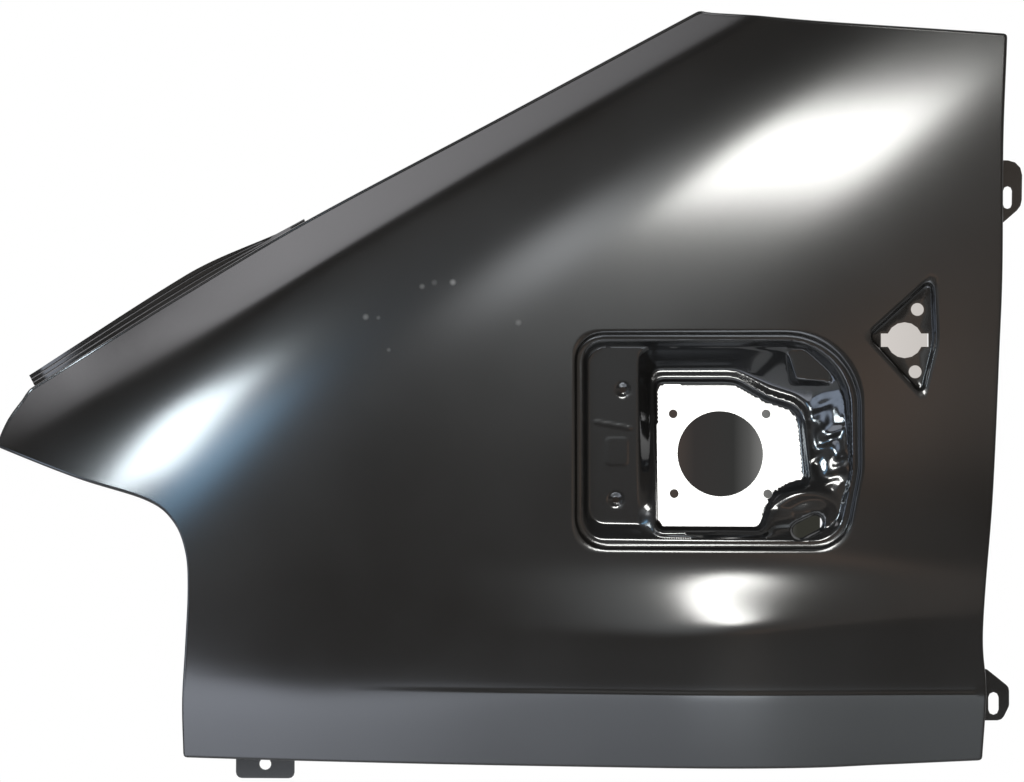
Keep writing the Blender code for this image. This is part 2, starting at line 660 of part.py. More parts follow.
def make_skin(origin):
    outline = skin_outline(EDGE_STEP, 0.0)
    boundary = skin_outline(EDGE_STEP, EDGE_BEND_RADIUS)
    hole = opening_outline(LIP_RUN + LANDING_WIDTH, OPENING_STEP)
    holes = [hole, lamp_hole_outline()] + [circle(c, LAMP_SCREW_HOLE, 10) for c in LAMP_SCREWS]
    rings = [opening_outline(LIP_RUN * k, OPENING_STEP) for k in (0.0, 0.3, 0.7, 1.0)]
    rings += [lamp_outline(LAMP_WALL * k, LAMP_STEP) for k in (0.0, 0.3, 0.7, 1.0)]
    rings += [opening_outline(-2 * LIP_RUN, OPENING_STEP), lamp_outline(-1.6 * LAMP_WALL, LAMP_STEP * 1.4)]
    lines = feature_lines(EDGE_STEP, boundary)
    grid = hex_grid(outline.min(axis=0), outline.max(axis=0), GRID_STEP)
    half = GRID_STEP / 2
    grid = grid[signed_distance(grid, boundary) > half]
    grid = grid[signed_distance(grid, rings[0]) < -half]
    grid = grid[signed_distance(grid, rings[4]) < -half]
    grid = clear_of(grid, lines, half)
    net, triangles, rim = triangulate(boundary, holes, rings, [], np.vstack(lines + [grid]))
    depth = skin_depth(net)
    points = [(p[0], d, p[1]) for p, d in zip(net, depth)]
    previous = rim
    base = depth[rim]
    left = (boundary - outline) / EDGE_BEND_RADIUS
    turns = [(math.radians(a), 0.0) for a in (30, 60, 90)] + [(math.radians(90), RETURN_FLANGE)]
    for angle, extra in turns:
        shift = EDGE_BEND_RADIUS * (1.0 - math.sin(angle))
        drop = EDGE_BEND_RADIUS * (1.0 - math.cos(angle)) + extra
        start = len(points)
        points += [(p[0] + shift * n[0], b + drop, p[1] + shift * n[1])
                   for p, n, b in zip(outline, left, base)]
        ring = list(range(start, len(points)))
        for i in range(len(ring)):
            j = (i + 1) % len(ring)
            triangles.append((previous[j], previous[i], ring[i]))
            triangles.append((previous[j], ring[i], ring[j]))
        previous = ring
    return sheet_object("outer_skin", points, triangles, SKIN_SHEET, origin,
                        ("skin_primer", (0.03, 0.03, 0.032), 0.32, 0.0))


def make_pocket(origin):
    step = POCKET_STEP
    boundary = opening_outline(-POCKET_FLANGE, OPENING_STEP)
    neck = circle(NECK_CENTRE, NECK_HOLE, 32)
    screws = [(NECK_CENTRE[0] + i * NECK_SCREW_PITCH_X / 2, NECK_CENTRE[1] + j * NECK_SCREW_PITCH_Z / 2)
              for i in (-1, 1) for j in (-1, 1)]
    holes = [neck, slot(BOSS_CENTRE, DRAIN_LENGTH, DRAIN_WIDTH, DRAIN_ANGLE, 5)]
    holes += [circle(c, NECK_SCREW_HOLE, 8) for c in screws]
    holes += [circle(c, HINGE_SCREW_HOLE, 8) for c in HINGE_SCREWS]
    cavity = opening_outline(CAVITY_INSET, OPENING_STEP)
    ledge = opening_outline(0.0, OPENING_STEP, LEDGE_CORNERS)
    wall_top = opening_outline(0.0, step, POCKET_TOP_CORNERS)
    wall_foot = opening_outline(0.0, step, STEP_CORNERS)
    floor = opening_outline(0.0, step, FLOOR_CORNERS)
    rings = [cavity, ledge, wall_top, wall_foot, floor]
    rings += [opening_outline(0.0, step, c) for c in (FLOOR_TOP_CORNERS, FACET_CORNERS, FACET_OUTER_CORNERS,
                                                      LEDGE_PAD_OUTER_CORNERS, LEDGE_PAD_CORNERS)]
    rings += [circle(c, HINGE_DIMPLE, 10) for c in HINGE_SCREWS]
    collar_length = DRAIN_LENGTH + 2 * DRAIN_COLLAR
    collar_width = DRAIN_WIDTH + 2 * DRAIN_COLLAR
    rings.append(slot(BOSS_CENTRE, collar_length, collar_width, DRAIN_ANGLE, 5))
    boss_rings = []
    for radius in (BOSS_TOP_RADIUS, (BOSS_TOP_RADIUS + BOSS_FOOT_RADIUS) / 2, BOSS_FOOT_RADIUS):
        arc = circle(BOSS_CENTRE, 2 * radius, 24)
        boss_rings.append(arc[signed_distance(arc, cavity) > EDGE_CLEARANCE])
    wall = hex_grid(boundary.min(axis=0), boundary.max(axis=0), POCKET_WALL_STEP)
    wall = wall[(signed_distance(wall, wall_top) > 0) & (signed_distance(wall, wall_foot) < 0)]
    plain = hex_grid(boundary.min(axis=0), boundary.max(axis=0), 2.4 * step)
    plain = plain[signed_distance(plain, ledge) > EDGE_CLEARANCE]
    on_floor = signed_distance(plain, floor) > 2 * EDGE_CLEARANCE
    plain = plain[(signed_distance(plain, wall_top) < -EDGE_CLEARANCE) | on_floor]
    for hole in holes:
        wall = wall[signed_distance(wall, hole) < -EDGE_CLEARANCE]
        plain = plain[signed_distance(plain, hole) < -2 * EDGE_CLEARANCE]
    rings_and_holes = rings + holes + boss_rings
    wall = clear_of(wall, rings_and_holes, POCKET_WALL_STEP * 0.5)
    plain = clear_of(plain, rings_and_holes, step * 0.7)
    net, triangles, _ = triangulate(boundary, holes, rings, [], np.vstack(boss_rings + [wall, plain]))
    depth = pocket_depth(net)
    points = [(p[0], d, p[1]) for p, d in zip(net, depth)]
    return sheet_object("filler_pocket", points, triangles, POCKET_SHEET, origin,
                        ("pocket_primer", (0.02, 0.02, 0.022), 0.16, 0.0))


def bend_position(u, radius):
    """Place of a blank's point round a right-angle bend: (inboard along the foot, out along the tab)."""
    length = radius * math.pi / 2
    if u <= 0:
        return u, 0.0
    if u >= length:
        return radius, radius + u - length
    return radius * math.sin(u / radius), radius * (1.0 - math.cos(u / radius))


def flange_end_depth(points):
    """Depth at which the return flange of the skin ends."""
    return float(body_depth(points[:, 0], points[:, 1]).max()) + EDGE_BEND_RADIUS + RETURN_FLANGE


def edge_stretch(side, axis, span):
    """Part of a skin edge between two values of x (axis 0) or z (axis 1): a chord and its outward normal."""
    order = np.argsort(side[:, axis])
    ends = []
    for value in span:
        ends.append(np.array([np.interp(value, side[order, axis], side[order, k]) for k in (0, 1)]))
    chord = ends[1] - ends[0]
    length = float(np.hypot(*chord))
    along = chord / length
    outward = np.array([along[1], -along[0]])
    part = side[(side[:, axis] > span[0]) & (side[:, axis] < span[1])]
    sag = min([0.0] + [float((p - ends[0]) @ outward) for p in part])
    return ends[0] + sag * outward, along, outward, length, np.vstack([ends, part])


def tab_face_depth(stretch):
    """Depth of a bracket tab's outer face, just past the end of the return flange."""
    return flange_end_depth(stretch[4]) + BRACKET_BEND + WELD_GAP


def make_bracket(name, stretch, corners, holes, origin):
    """Foot inside the return flange, bend, and a tab that stands out past the skin's edge.

    The tab's corners and its holes are given as reach past the skin's edge and place along the edge.
    """
    start, along, outward, length, _ = stretch
    radius = BRACKET_BEND + BRACKET_SHEET
    inward = SKIN_SHEET + WELD_GAP + BRACKET_SHEET
    unroll = radius * math.pi / 2 - radius + inward
    blank = [(-BRACKET_FOOT, 0.0, FOOT_CORNER), (-BRACKET_FOOT, length, FOOT_CORNER)]
    blank += [(reach + unroll, v, r) for reach, v, r in corners]
    outline = rounded_outline(blank, 0.0, length)
    loops = [loop + np.array([unroll, 0.0]) for loop in holes]
    across = np.linspace(0.0, length, FOLD_POINTS)
    folds = [np.column_stack([np.full(FOLD_POINTS, radius * math.pi / 6 * k), across]) for k in range(4)]
    net, triangles, _ = triangulate(outline, loops, [], folds, [])
    depth = tab_face_depth(stretch) - BRACKET_BEND
    points = []
    for u, v in net:
        inboard, out = bend_position(u, radius)
        x, z = start + (out - inward) * outward + v * along
        points.append((x, depth + inboard, z))
    flipped = [t[::-1] for t in triangles]
    return sheet_object(name, points, flipped, BRACKET_SHEET, origin,
                        (name + "_primer", (0.03, 0.03, 0.032), 0.35, 0.0))


def door_stretch(height, width):
    return edge_stretch(edge(DOOR_EDGE, EDGE_STEP), 1, (height, height + width))


def make_upper_bracket(origin):
    stretch = door_stretch(UPPER_TAB_HEIGHT, UPPER_TAB_WIDTH)
    length = stretch[3]
    tab = [(UPPER_TAB_REACH, length, UPPER_TAB_CORNER), (UPPER_TAB_REACH, UPPER_TAB_TAPER, UPPER_TAB_CORNER),
           (UPPER_TAB_ROOT, 0.0, FOOT_CORNER)]
    hole = slot((UPPER_SLOT_REACH, UPPER_SLOT_ALONG), UPPER_SLOT_LENGTH, UPPER_SLOT_WIDTH, math.pi / 2, 4)
    return make_bracket("upper_rear_bracket", stretch, tab, [hole], origin)


def make_lower_bracket(origin):
    stretch = door_stretch(LOWER_TAB_HEIGHT, LOWER_TAB_WIDTH)
    length = stretch[3]
    corner = LOWER_TAB_CORNER
    tab = [(LOWER_TAB_ROOT, length, FOOT_CORNER), (LOWER_TAB_REACH, length - LOWER_TAB_TOP_TAPER, corner),
           (LOWER_TAB_REACH, LOWER_TAB_BOTTOM_TAPER, corner), (LOWER_TAB_REACH - corner, 0.0, corner)]
    hole = slot((LOWER_SLOT_REACH, LOWER_SLOT_ALONG), LOWER_SLOT_LENGTH, LOWER_SLOT_WIDTH, math.pi / 2, 4)
    return make_bracket("lower_rear_bracket", stretch, tab, [hole], origin)


def make_bottom_bracket(origin):
    sill = edge(SILL_EDGE, EDGE_STEP)
    stretch = edge_stretch(sill, 0, (BOTTOM_TAB_START, BOTTOM_TAB_START + BOTTOM_TAB_WIDTH))
    length = stretch[3]
    tab = [(BOTTOM_TAB_REACH, length, BOTTOM_TAB_CORNER), (BOTTOM_TAB_REACH, 0.0, BOTTOM_TAB_CORNER)]
    hole = circle((BOTTOM_HOLE_REACH, length / 2), BOTTOM_HOLE, 14)
    return make_bracket("bottom_bracket", stretch, tab, [hole], origin)


def make_rail(origin):
    """Stepped strip along the front of the bonnet edge: foot inside the flange, upstand beyond its end."""
    side = edge(BONNET_EDGE, EDGE_STEP)[::-1]
    side = side[(side[:, 0] > RAIL_START) & (side[:, 0] < RAIL_END)]
    radius = BRACKET_BEND + RAIL_SHEET
    inward = SKIN_SHEET + WELD_GAP + RAIL_SHEET
    bend = radius * math.pi / 2
    ahead = np.gradient(side, axis=0)
    ahead /= np.hypot(ahead[:, 0], ahead[:, 1])[:, None]
    outward = np.column_stack([ahead[:, 1], -ahead[:, 0]])
    points = []
    for i, (p, n) in enumerate(zip(side, outward)):
        share = i / (len(side) - 1)
        growth = float(smooth_step(share / RAIL_TAPER)) * (1.0 - RAIL_NOSE_DROP * share * share)
        height = RAIL_END_HEIGHT + (RAIL_HEIGHT - RAIL_END_HEIGHT) * growth
        end = flange_end_depth(p[None, :]) + RAIL_CLEARANCE
        section = [(-RAIL_FOOT, 0.0), (-RAIL_FOOT / 2, 0.0)]
        section += [(bend * k / 3, 0.0) for k in range(4)]
        rise = (height + inward - radius) / 3
        for k in (1, 2):
            half = RAIL_STEP_RUN / 2
            section.append((bend + rise * k - half, (k - 1) * RAIL_STEP))
            section.append((bend + rise * k + half, k * RAIL_STEP))
        section.append((bend + rise * 3, 2 * RAIL_STEP))
        for u, joggle in section:
            inboard, out = bend_position(u, radius)
            x, z = p + (out - inward) * n
            points.append((x, end + inboard + joggle, z))
    count = len(section)
    triangles = []
    for i in range(len(side) - 1):
        for k in range(count - 1):
            a = i * count + k
            b = a + count
            triangles.append((a, b + 1, a + 1))
            triangles.append((a, b, b + 1))
    return sheet_object("bonnet_side_rail", points, triangles, RAIL_SHEET, origin,
                        ("rail_primer", (0.03, 0.03, 0.032), 0.35, 0.0))


def part_origin():
    """Point on the outer face of the upper rear tab, above its slot."""
    stretch = door_stretch(UPPER_TAB_HEIGHT, UPPER_TAB_WIDTH)
    start, along, outward, length, _ = stretch
    above_slot = (length + UPPER_SLOT_ALONG + UPPER_SLOT_LENGTH / 2) / 2
    x, z = start + UPPER_SLOT_REACH * outward + above_slot * along
    return x, tab_face_depth(stretch), z


def main():
    for obj in list(bpy.data.objects):
        bpy.data.objects.remove(obj, do_unlink=True)
    origin = part_origin()
    make_skin(origin)
    make_pocket(origin)
    make_rail(origin)
    make_upper_bracket(origin)
    make_lower_bracket(origin)
    make_bottom_bracket(origin)


main()
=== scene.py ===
import math

import bmesh
import bpy
import numpy as np
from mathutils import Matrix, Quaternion, Vector
from mathutils.geometry import delaunay_2d_cdt


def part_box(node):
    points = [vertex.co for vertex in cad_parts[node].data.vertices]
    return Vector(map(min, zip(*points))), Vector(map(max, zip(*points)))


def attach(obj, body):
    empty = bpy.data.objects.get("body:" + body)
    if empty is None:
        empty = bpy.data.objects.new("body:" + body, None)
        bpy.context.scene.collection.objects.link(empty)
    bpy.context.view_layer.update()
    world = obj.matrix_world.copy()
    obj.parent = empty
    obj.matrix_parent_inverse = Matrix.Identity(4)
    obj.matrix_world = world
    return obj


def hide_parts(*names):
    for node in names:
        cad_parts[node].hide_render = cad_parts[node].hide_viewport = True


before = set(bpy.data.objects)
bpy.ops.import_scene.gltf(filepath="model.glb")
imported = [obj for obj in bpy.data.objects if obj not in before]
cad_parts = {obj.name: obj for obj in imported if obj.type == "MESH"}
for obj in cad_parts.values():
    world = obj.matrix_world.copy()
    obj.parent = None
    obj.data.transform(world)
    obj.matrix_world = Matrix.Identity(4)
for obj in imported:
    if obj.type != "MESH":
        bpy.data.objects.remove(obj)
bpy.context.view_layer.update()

# Lengths of the sheets are millimetres here, with x from the nose, z from the sill and depth inboard
# Main sizes of the outer skin, seen square on
FENDER_LENGTH = 861.5
FENDER_HEIGHT = 634.9

# Sheet thicknesses and the air between two welded sheets
SKIN_SHEET = 0.8
POCKET_SHEET = 0.8
RAIL_SHEET = 1.0
WELD_GAP = 0.3

# Edges of the skin as smooth curves: shares of its length from the nose, and of its height from the sill
LEADING_EDGE = ((0.0279, 0.4809), (0.0110, 0.4486), (0.0, 0.4116))
BUMPER_EDGE = ((0.0, 0.4116), (0.0907, 0.3697), (0.1630, 0.3415), (0.1909, 0.3139), (0.2037, 0.2737),
               (0.2064, 0.2229), (0.2043, 0.1493), (0.2014, 0.0753), (0.2023, 0.0020))
SILL_EDGE = ((0.2023, 0.0020), (0.5120, 0.0), (0.7782, 0.0006), (0.8730, 0.0044), (0.9720, 0.0099))
DOOR_EDGE = ((0.9720, 0.0099), (0.9749, 0.1014), (0.9719, 0.1805), (0.9817, 0.3471), (0.9887, 0.5410),
             (0.9920, 0.6447), (0.9942, 0.8138), (1.0, 0.9542))
SCREEN_EDGE = ((1.0, 0.9542), (0.8221, 0.9754), (0.7301, 0.9928), (0.7097, 1.0))
BONNET_EDGE = ((0.0308, 0.4895), (0.1017, 0.5473), (0.1892, 0.6203), (0.3091, 0.7159), (0.5115, 0.8582),
               (0.7097, 1.0))

# Plan curve of the panel: how it turns inboard towards the nose
PLAN_RADIUS = 5000.0
REAR_TOE = 0.0103
REAR_TANGENT = 0.988
NOSE_SWEEP = 42.0

# Shoulder: two points of the crease, the crown below it and the steep band above it
CREASE_REAR = (0.6999, 0.9354)
CREASE_FRONT = (0.0944, 0.4780)
CROWN_DEPTH = 62.0
CROWN_LENGTH = 0.197 * FENDER_HEIGHT
BAND_SLOPE = 0.85
BAND_FADE = 0.75
BAND_FADE_START = 0.637
BAND_FADE_RUN = 0.385
CREASE_SOFTNESS = 2.5
NOSE_SOFTNESS = 9.0
SOFTENING_START = 0.553
SOFTENING_RUN = 0.436

# Lower body line: flare, ridge that rises rearwards, and the sill band standing a step proud
FLARE_HEIGHT = 0.2614 * FENDER_HEIGHT
FLARE_SLOPE = 0.275
FLARE_BASE = 0.07
FLARE_SOFTNESS = 6.5
FLARE_MIDDLE = 0.747 * FENDER_LENGTH
FLARE_REACH = 0.125 * FENDER_LENGTH
RIDGE_HEIGHT = 0.1729 * FENDER_HEIGHT
RIDGE_RISE = 13.0
RIDGE_RISE_START = 0.62 * FENDER_LENGTH
RIDGE_RISE_RUN = 0.28 * FENDER_LENGTH
RIDGE_SOFTNESS = 3.5
SILL_CREASE_HEIGHT = 0.0989 * FENDER_HEIGHT
SILL_CREASE_SOFTNESS = 2.3
SILL_TUCK = 0.13
SILL_STEP = 0.6
SILL_STEP_HEIGHT = 4.5
LINE_START = 0.3494 * FENDER_LENGTH
LINE_FADE_LENGTH = 0.2554 * FENDER_LENGTH

# Return flange round the whole skin
EDGE_BEND_RADIUS = 2.2
RETURN_FLANGE = 14.0
CORNER_CUT = 3.5

# Filler opening in the skin: a sloping lip down to a landing
# Its corners, like all those inside it, are shares of its width and height, and their radii of its height
OPENING_PLACE = (0.5832, 0.2816)
OPENING_WIDTH = 236.2
OPENING_HEIGHT = 179.9
OPENING_CORNERS = ((0.0, 1.0, 0.133), (0.997, 1.0, 0.345), (1.0, 0.368, 0.334), (0.947, 0.0, 0.178),
                   (0.0, 0.0, 0.145))
LIP_DROP = 6.0
LIP_RUN = 2.8
LANDING_WIDTH = 3.4

# Filler pocket
POCKET_FLANGE = 5.0
POCKET_TOP_CORNERS = ((0.225, 0.939, 0.067), (0.756, 0.939, 0.167), (0.955, 0.773, 0.145),
                      (0.955, 0.239, 0.189), (0.862, 0.056, 0.133), (0.225, 0.056, 0.067))
STEP_CORNERS = ((0.278, 0.825, 0.044), (0.578, 0.825, 0.145), (0.697, 0.734, 0.145), (0.824, 0.684, 0.122),
                (0.849, 0.261, 0.078), (0.718, 0.239, 0.089), (0.663, 0.069, 0.044), (0.278, 0.069, 0.044))
FLOOR_TOP_CORNERS = ((0.284, 0.795, 0.039), (0.574, 0.795, 0.145), (0.688, 0.706, 0.145),
                     (0.813, 0.656, 0.111), (0.832, 0.278, 0.067), (0.707, 0.256, 0.089),
                     (0.657, 0.086, 0.033), (0.284, 0.086, 0.033))
FLOOR_CORNERS = ((0.297, 0.762, 0.033), (0.570, 0.762, 0.145), (0.680, 0.681, 0.145), (0.794, 0.634, 0.100),
                 (0.813, 0.289, 0.056), (0.701, 0.272, 0.089), (0.648, 0.103, 0.028), (0.297, 0.103, 0.028))
FACET_OUTER_CORNERS = ((0.735, 0.939, 0.028), (0.815, 0.942, 0.044), (0.940, 0.784, 0.044),
                       (0.909, 0.750, 0.022), (0.765, 0.756, 0.028))
FACET_CORNERS = ((0.754, 0.917, 0.017), (0.807, 0.920, 0.033), (0.913, 0.792, 0.028),
                 (0.892, 0.778, 0.017), (0.782, 0.784, 0.022))
FACET_DEPTH = 28.0
FACET_TILT = 0.12
NECK_PLACE = (0.519, 0.437)
FLOOR_DEPTH = 50.0
FLOOR_TURN = -0.107
FLOOR_TILT = 0.25
FLOOR_STEP = 4.5
STEP_TILT = 0.38
LEDGE_CORNERS = ((0.052, 0.930, 0.075), (0.930, 0.930, 0.300), (0.962, 0.350, 0.250), (0.905, 0.100, 0.100),
                 (0.052, 0.128, 0.060))
LEDGE_PLACE = (0.130, 0.534)
LEDGE_DEPTH = 33.0
LEDGE_TURN = -0.065
LEDGE_TILT = 0.07
LEDGE_PAD_OUTER_CORNERS = ((0.106, 0.522, 0.022), (0.196, 0.522, 0.022),
                           (0.196, 0.378, 0.022), (0.106, 0.378, 0.022))
LEDGE_PAD_CORNERS = ((0.118, 0.506, 0.014), (0.184, 0.506, 0.014),
                     (0.184, 0.394, 0.014), (0.118, 0.394, 0.014))
LEDGE_PAD_RISE = 0.12
LEDGE_BEAD = ((0.077, 0.585), (0.199, 0.557))
LEDGE_BEAD_WIDTH = 3.2
LEDGE_BEAD_RISE = 0.35
SOFT_EASE = 0.3
SHARP_EASE = 0.15

# Waves in the pocket's right wall: strength, radians per millimetre across and up, swerve and its two rates
WRINKLE_PLACE = (0.892, 0.505)
WRINKLE_SPREAD = (0.058, 0.225)
WRINKLE_RISE = 0.55
WRINKLE_WAVES = ((1.0, 0.12, 0.33, 1.4, -0.23, 0.19), (0.6, -0.36, 0.17, 1.1, 0.0, 0.27))

# Holes, dimples and the drain boss of the pocket
NECK_HOLE = 71.0
NECK_SCREW_HOLE = 7.4
NECK_SCREW_PITCH_X = 77.4
NECK_SCREW_PITCH_Z = 66.4
HINGE_SCREW_HOLE = 5.2
HINGE_DIMPLE = 14.0
HINGE_DIMPLE_DROP = 1.2
HINGE_SCREW_PLACES = ((0.172, 0.733), (0.147, 0.226))
BOSS_PLACE = (0.815, 0.106)
BOSS_TOP_RADIUS = 26.0
BOSS_FOOT_RADIUS = 37.0
BOSS_DEPTH = 15.5
DRAIN_LENGTH = 26.0
DRAIN_WIDTH = 12.0
DRAIN_ANGLE = math.radians(27.0)
DRAIN_COLLAR = 3.0
DRAIN_DROP = 3.0

# Side lamp recess near the door edge, its corners given like those of the opening
LAMP_PLACE = (0.8613, 0.4785)
LAMP_WIDTH = 58.5
LAMP_HEIGHT = 103.0
LAMP_CORNERS = ((0.0, 0.500, 0.068), (0.966, 1.0, 0.058), (1.0, 0.447, 0.583), (0.803, 0.0, 0.049))
LAMP_DROP = 7.0
LAMP_WALL = 3.2
LAMP_HOLE_PLACE = (0.556, 0.465)
LAMP_HOLE = 29.6
LAMP_EAR_SPAN = 39.0
LAMP_EAR_HEIGHT = 11.0
LAMP_SCREW_HOLE = 10.6
LAMP_SCREW_PLACES = ((0.737, 0.711), (0.701, 0.212))

# Bonnet side rail, a stepped strip behind the front part of the bonnet edge
RAIL_START = 0.0348 * FENDER_LENGTH
RAIL_END = 0.3192 * FENDER_LENGTH
RAIL_HEIGHT = 15.0
RAIL_END_HEIGHT = 3.0
RAIL_TAPER = 0.42
RAIL_NOSE_DROP = 0.25
RAIL_STEP = 2.0
RAIL_STEP_RUN = 1.6
RAIL_FOOT = 9.0
RAIL_CLEARANCE = 1.0
RAIL_DEEPEST = 193.9
RAIL_BEND = 1.5

# Spacing of the nets, and limits that keep them clean
EDGE_STEP = 5.0
GRID_STEP = 6.5
OPENING_STEP = 4.0
LAMP_STEP = 3.0
POCKET_STEP = 1.9
FINE_STEP = 3.0
SMALLEST_EDGE = 0.2
SHARP_ANGLE = 50.0
SMALLEST_AREA = 0.001
EDGE_RINGS = (0.7, 1.8, 4.0)
WALL_SHARES = (0.0, 0.15, 0.3, 0.5, 0.7, 0.85, 1.0)
CREASE_ROWS = (-16.0, -11.0, -7.5, -5.0, -3.0, -1.5, 0.0, 1.5, 3.0, 5.0, 7.5, 11.0, 16.0)
LINE_ROWS = (-9.0, -6.5, -4.5, -3.0, -1.5, 0.0, 1.5, 3.0, 4.5, 6.5, 9.0)
STEP_ROWS = (-9.0, -6.5, -4.5, -3.0, -2.2, -1.5, -0.7, 0.0, 0.7, 1.5, 2.2, 3.0, 4.5, 6.5, 9.0)
SMALLEST_RADIUS = 0.6
LARGEST_ARC_TURN = 0.45
STRAIGHT_SINE = 0.01
SPLINE_PIECES = 12

# Paint: specks of dust as x, height, radius and strength, then the scales of its cloud and orange peel
DUST_SPECKS = ((375.6, 397.5, 3.2, 0.12), (385.9, 400.8, 3.6, 0.06), (401.5, 400.8, 3.6, 0.22),
               (328.0, 372.1, 3.6, 0.14), (338.7, 371.3, 2.6, 0.07), (347.7, 344.2, 2.6, 0.07),
               (456.3, 366.7, 3.6, 0.10))
DUST_COLOUR = (0.55, 0.53, 0.50, 1.0)
CLOUD_SCALE = 9.0
CLOUD_STOPS = (0.35, 0.65)
PEEL_SCALE = 420.0
PEEL_DEPTH = 0.0002

# Camera, world and floor, in metres but for the middle of the picture, which is a place on the panel
PICTURE_MIDDLE = (451.0, 309.8)
PICTURE_WIDTH = 0.8397
CAMERA_DISTANCE = 2.6
SENSOR_WIDTH = 36.0
WORLD_LIGHT = 0.35
FLOOR_HEIGHT = -1.5
FLOOR_RADIUS = 6.0
FLOOR_COLOUR = (0.86, 0.86, 0.85, 1.0)
FLOOR_ROUGHNESS = 0.7
WHITE = (1.0, 1.0, 1.0, 1.0)
BLACK = (0.0, 0.0, 0.0, 1.0)

# Studio, by direction in degrees: azimuth from straight in front to the right, and elevation
# A limit is an angle with its softness. A patch is an amount, centre, half sizes, tilt, softness and colour
GLOW_STEP = 1.5
WALL_COLOUR = (1.0, 0.88, 0.78)
WALL_GLOW = 0.17
FAR_LEFT = (-58.0, 4.0)
FAR_LEFT_DIMMING = 0.09
CEILING = (30.0, 3.0)
CEILING_LEFT = (-25.0, 3.0)
CEILING_DIMMING = 0.10
RIGHT_LIMITS = ((2.0, 3.0), (40.0, 4.0))
RIGHT_GLOW = 0.22
RIGHT_LOW_TOP = (4.0, 3.0)
RIGHT_LOW_GLOW = 0.55
LEFT_LIMITS = ((-46.0, 3.0), (-31.0, 2.0))
LEFT_GLOW = 0.16
SIDES_TOP = (24.0, 3.0)
ROOM_PATCHES = (
    (1.5, (-14.5, 19.0), (11.5, 6.0), 140.0, 2.2, (0.94, 1.0, 1.03)),
    (8.0, (-22.3, 26.6), (4.0, 2.8), 140.0, 1.0, (0.97, 1.0, 1.03)),
    (0.15, (7.0, 15.0), (6.0, 4.0), 0.0, 2.0, (0.95, 1.0, 1.02)),
    (1.4, (3.5, 3.0), (3.5, 3.0), 0.0, 1.2, (1.0, 0.58, 0.36)),
    (0.50, (-46.0, 21.0), (14.0, 12.0), 0.0, 3.0, (0.80, 0.95, 1.1)),
    (0.40, (-38.0, 38.5), (9.0, 5.0), 0.0, 2.5, (0.95, 0.98, 1.0)),
    (12.0, (-42.8, 17.5), (2.0, 4.8), -20.0, 0.8, (0.27, 0.62, 1.0)),
    (5.0, (-72.0, 2.0), (9.0, 13.0), 0.0, 1.5, (0.72, 0.86, 1.1)))

# Pale wall at the far left: top by azimuth, foot, right end, and how its light falls off
PALE_TOPS = ((-138.0, 63.0), (-132.0, 61.0), (-126.0, 57.0), (-120.0, 54.0), (-108.0, 52.0), (-102.0, 51.3),
             (-96.0, 49.0), (-90.0, 46.3), (-84.0, 42.3), (-80.0, 38.0))
PALE_TOP_SOFTNESS = 0.7
PALE_FOOT = (35.3, 0.8)
PALE_END = (-79.3, 0.8)
PALE_COLOUR = (0.97, 0.96, 1.0)
PALE_GLOW = 2.9
PALE_MIDDLE = 46.0
PALE_FALL_UP = 0.05
PALE_CORNER = (-104.0, 2.0)
PALE_FALL_LEFT = 0.028
PALE_CORNER_STEP = 0.35

# Ground in front: light by azimuth, far edge, bright patch, and the low wall above that edge
GROUND_GLOWS = ((-60.0, 2.9), (-34.0, 3.7), (-25.0, 3.3), (-19.0, 2.65), (-8.0, 2.35), (8.0, 2.25),
                (16.0, 2.0), (22.0, 1.45), (40.0, 0.8))
GROUND_EDGE = -9.1
GROUND_EDGE_SOFTNESS = 0.5
GROUND_CORNER = -31.0
GROUND_EDGE_RISE = 0.70
GROUND_MIDDLE = -18.0
GROUND_REACH = 8.0
GROUND_GAIN = 0.06
GROUND_PATCH_GLOW = 7.0
GROUND_PATCH = ((2.0, -13.5), (9.0, 2.2), 0.0, 0.6)
LOW_WALL_GLOW = 0.16
LOW_WALL_PATCH_GLOW = 0.30
LOW_WALL_PATCH = ((1.0, 3.0), (11.0, 2.0))
GROUND_COLOURS = ((0.89, 0.95, 1.08), (0.93, 1.0, 1.05))
GROUND_COLOUR_START = -35.0
GROUND_COLOUR_RUN = 60.0

# Glowing cards that show through the holes of pocket and lamp recess, painted shade behind the pocket and
# painted light behind the lamp recess: depths, and shades from left to right
NECK_PAINTED_SHADE_DEPTH = 190.0
LAMP_PAINTED_LIGHT_DEPTH = 45.0
# Painted shade seen through the filler neck: dark, with a lighter painted band of light towards the right
NECK_PAINTED_SHADES = ((0.0, (0.010, 0.009, 0.008)), (0.36, (0.062, 0.050, 0.044)), (0.45, (0.036, 0.033, 0.032)),
               (0.62, (0.034, 0.034, 0.033)), (0.69, (0.085, 0.085, 0.083)), (0.75, (0.185, 0.185, 0.180)),
               (0.90, (0.034, 0.034, 0.028)))
# Painted light seen through the lamp recess holes: a pale glow, a little darker towards the right
LAMP_PAINTED_LIGHT = ((0.0, (0.66, 0.62, 0.59)), (1.0, (0.58, 0.55, 0.52)))


def on_panel(shares):
    """Place on the panel, from shares of its length and height."""
    return shares[0] * FENDER_LENGTH, shares[1] * FENDER_HEIGHT


def in_frame(shares, place, width, height):
    """Place in a box whose lower front corner is given, from shares of its width and height."""
    x, z = on_panel(place)
    return x + shares[0] * width, z + shares[1] * height


def in_opening(shares):
    return in_frame(shares, OPENING_PLACE, OPENING_WIDTH, OPENING_HEIGHT)


def in_lamp(shares):
    return in_frame(shares, LAMP_PLACE, LAMP_WIDTH, LAMP_HEIGHT)


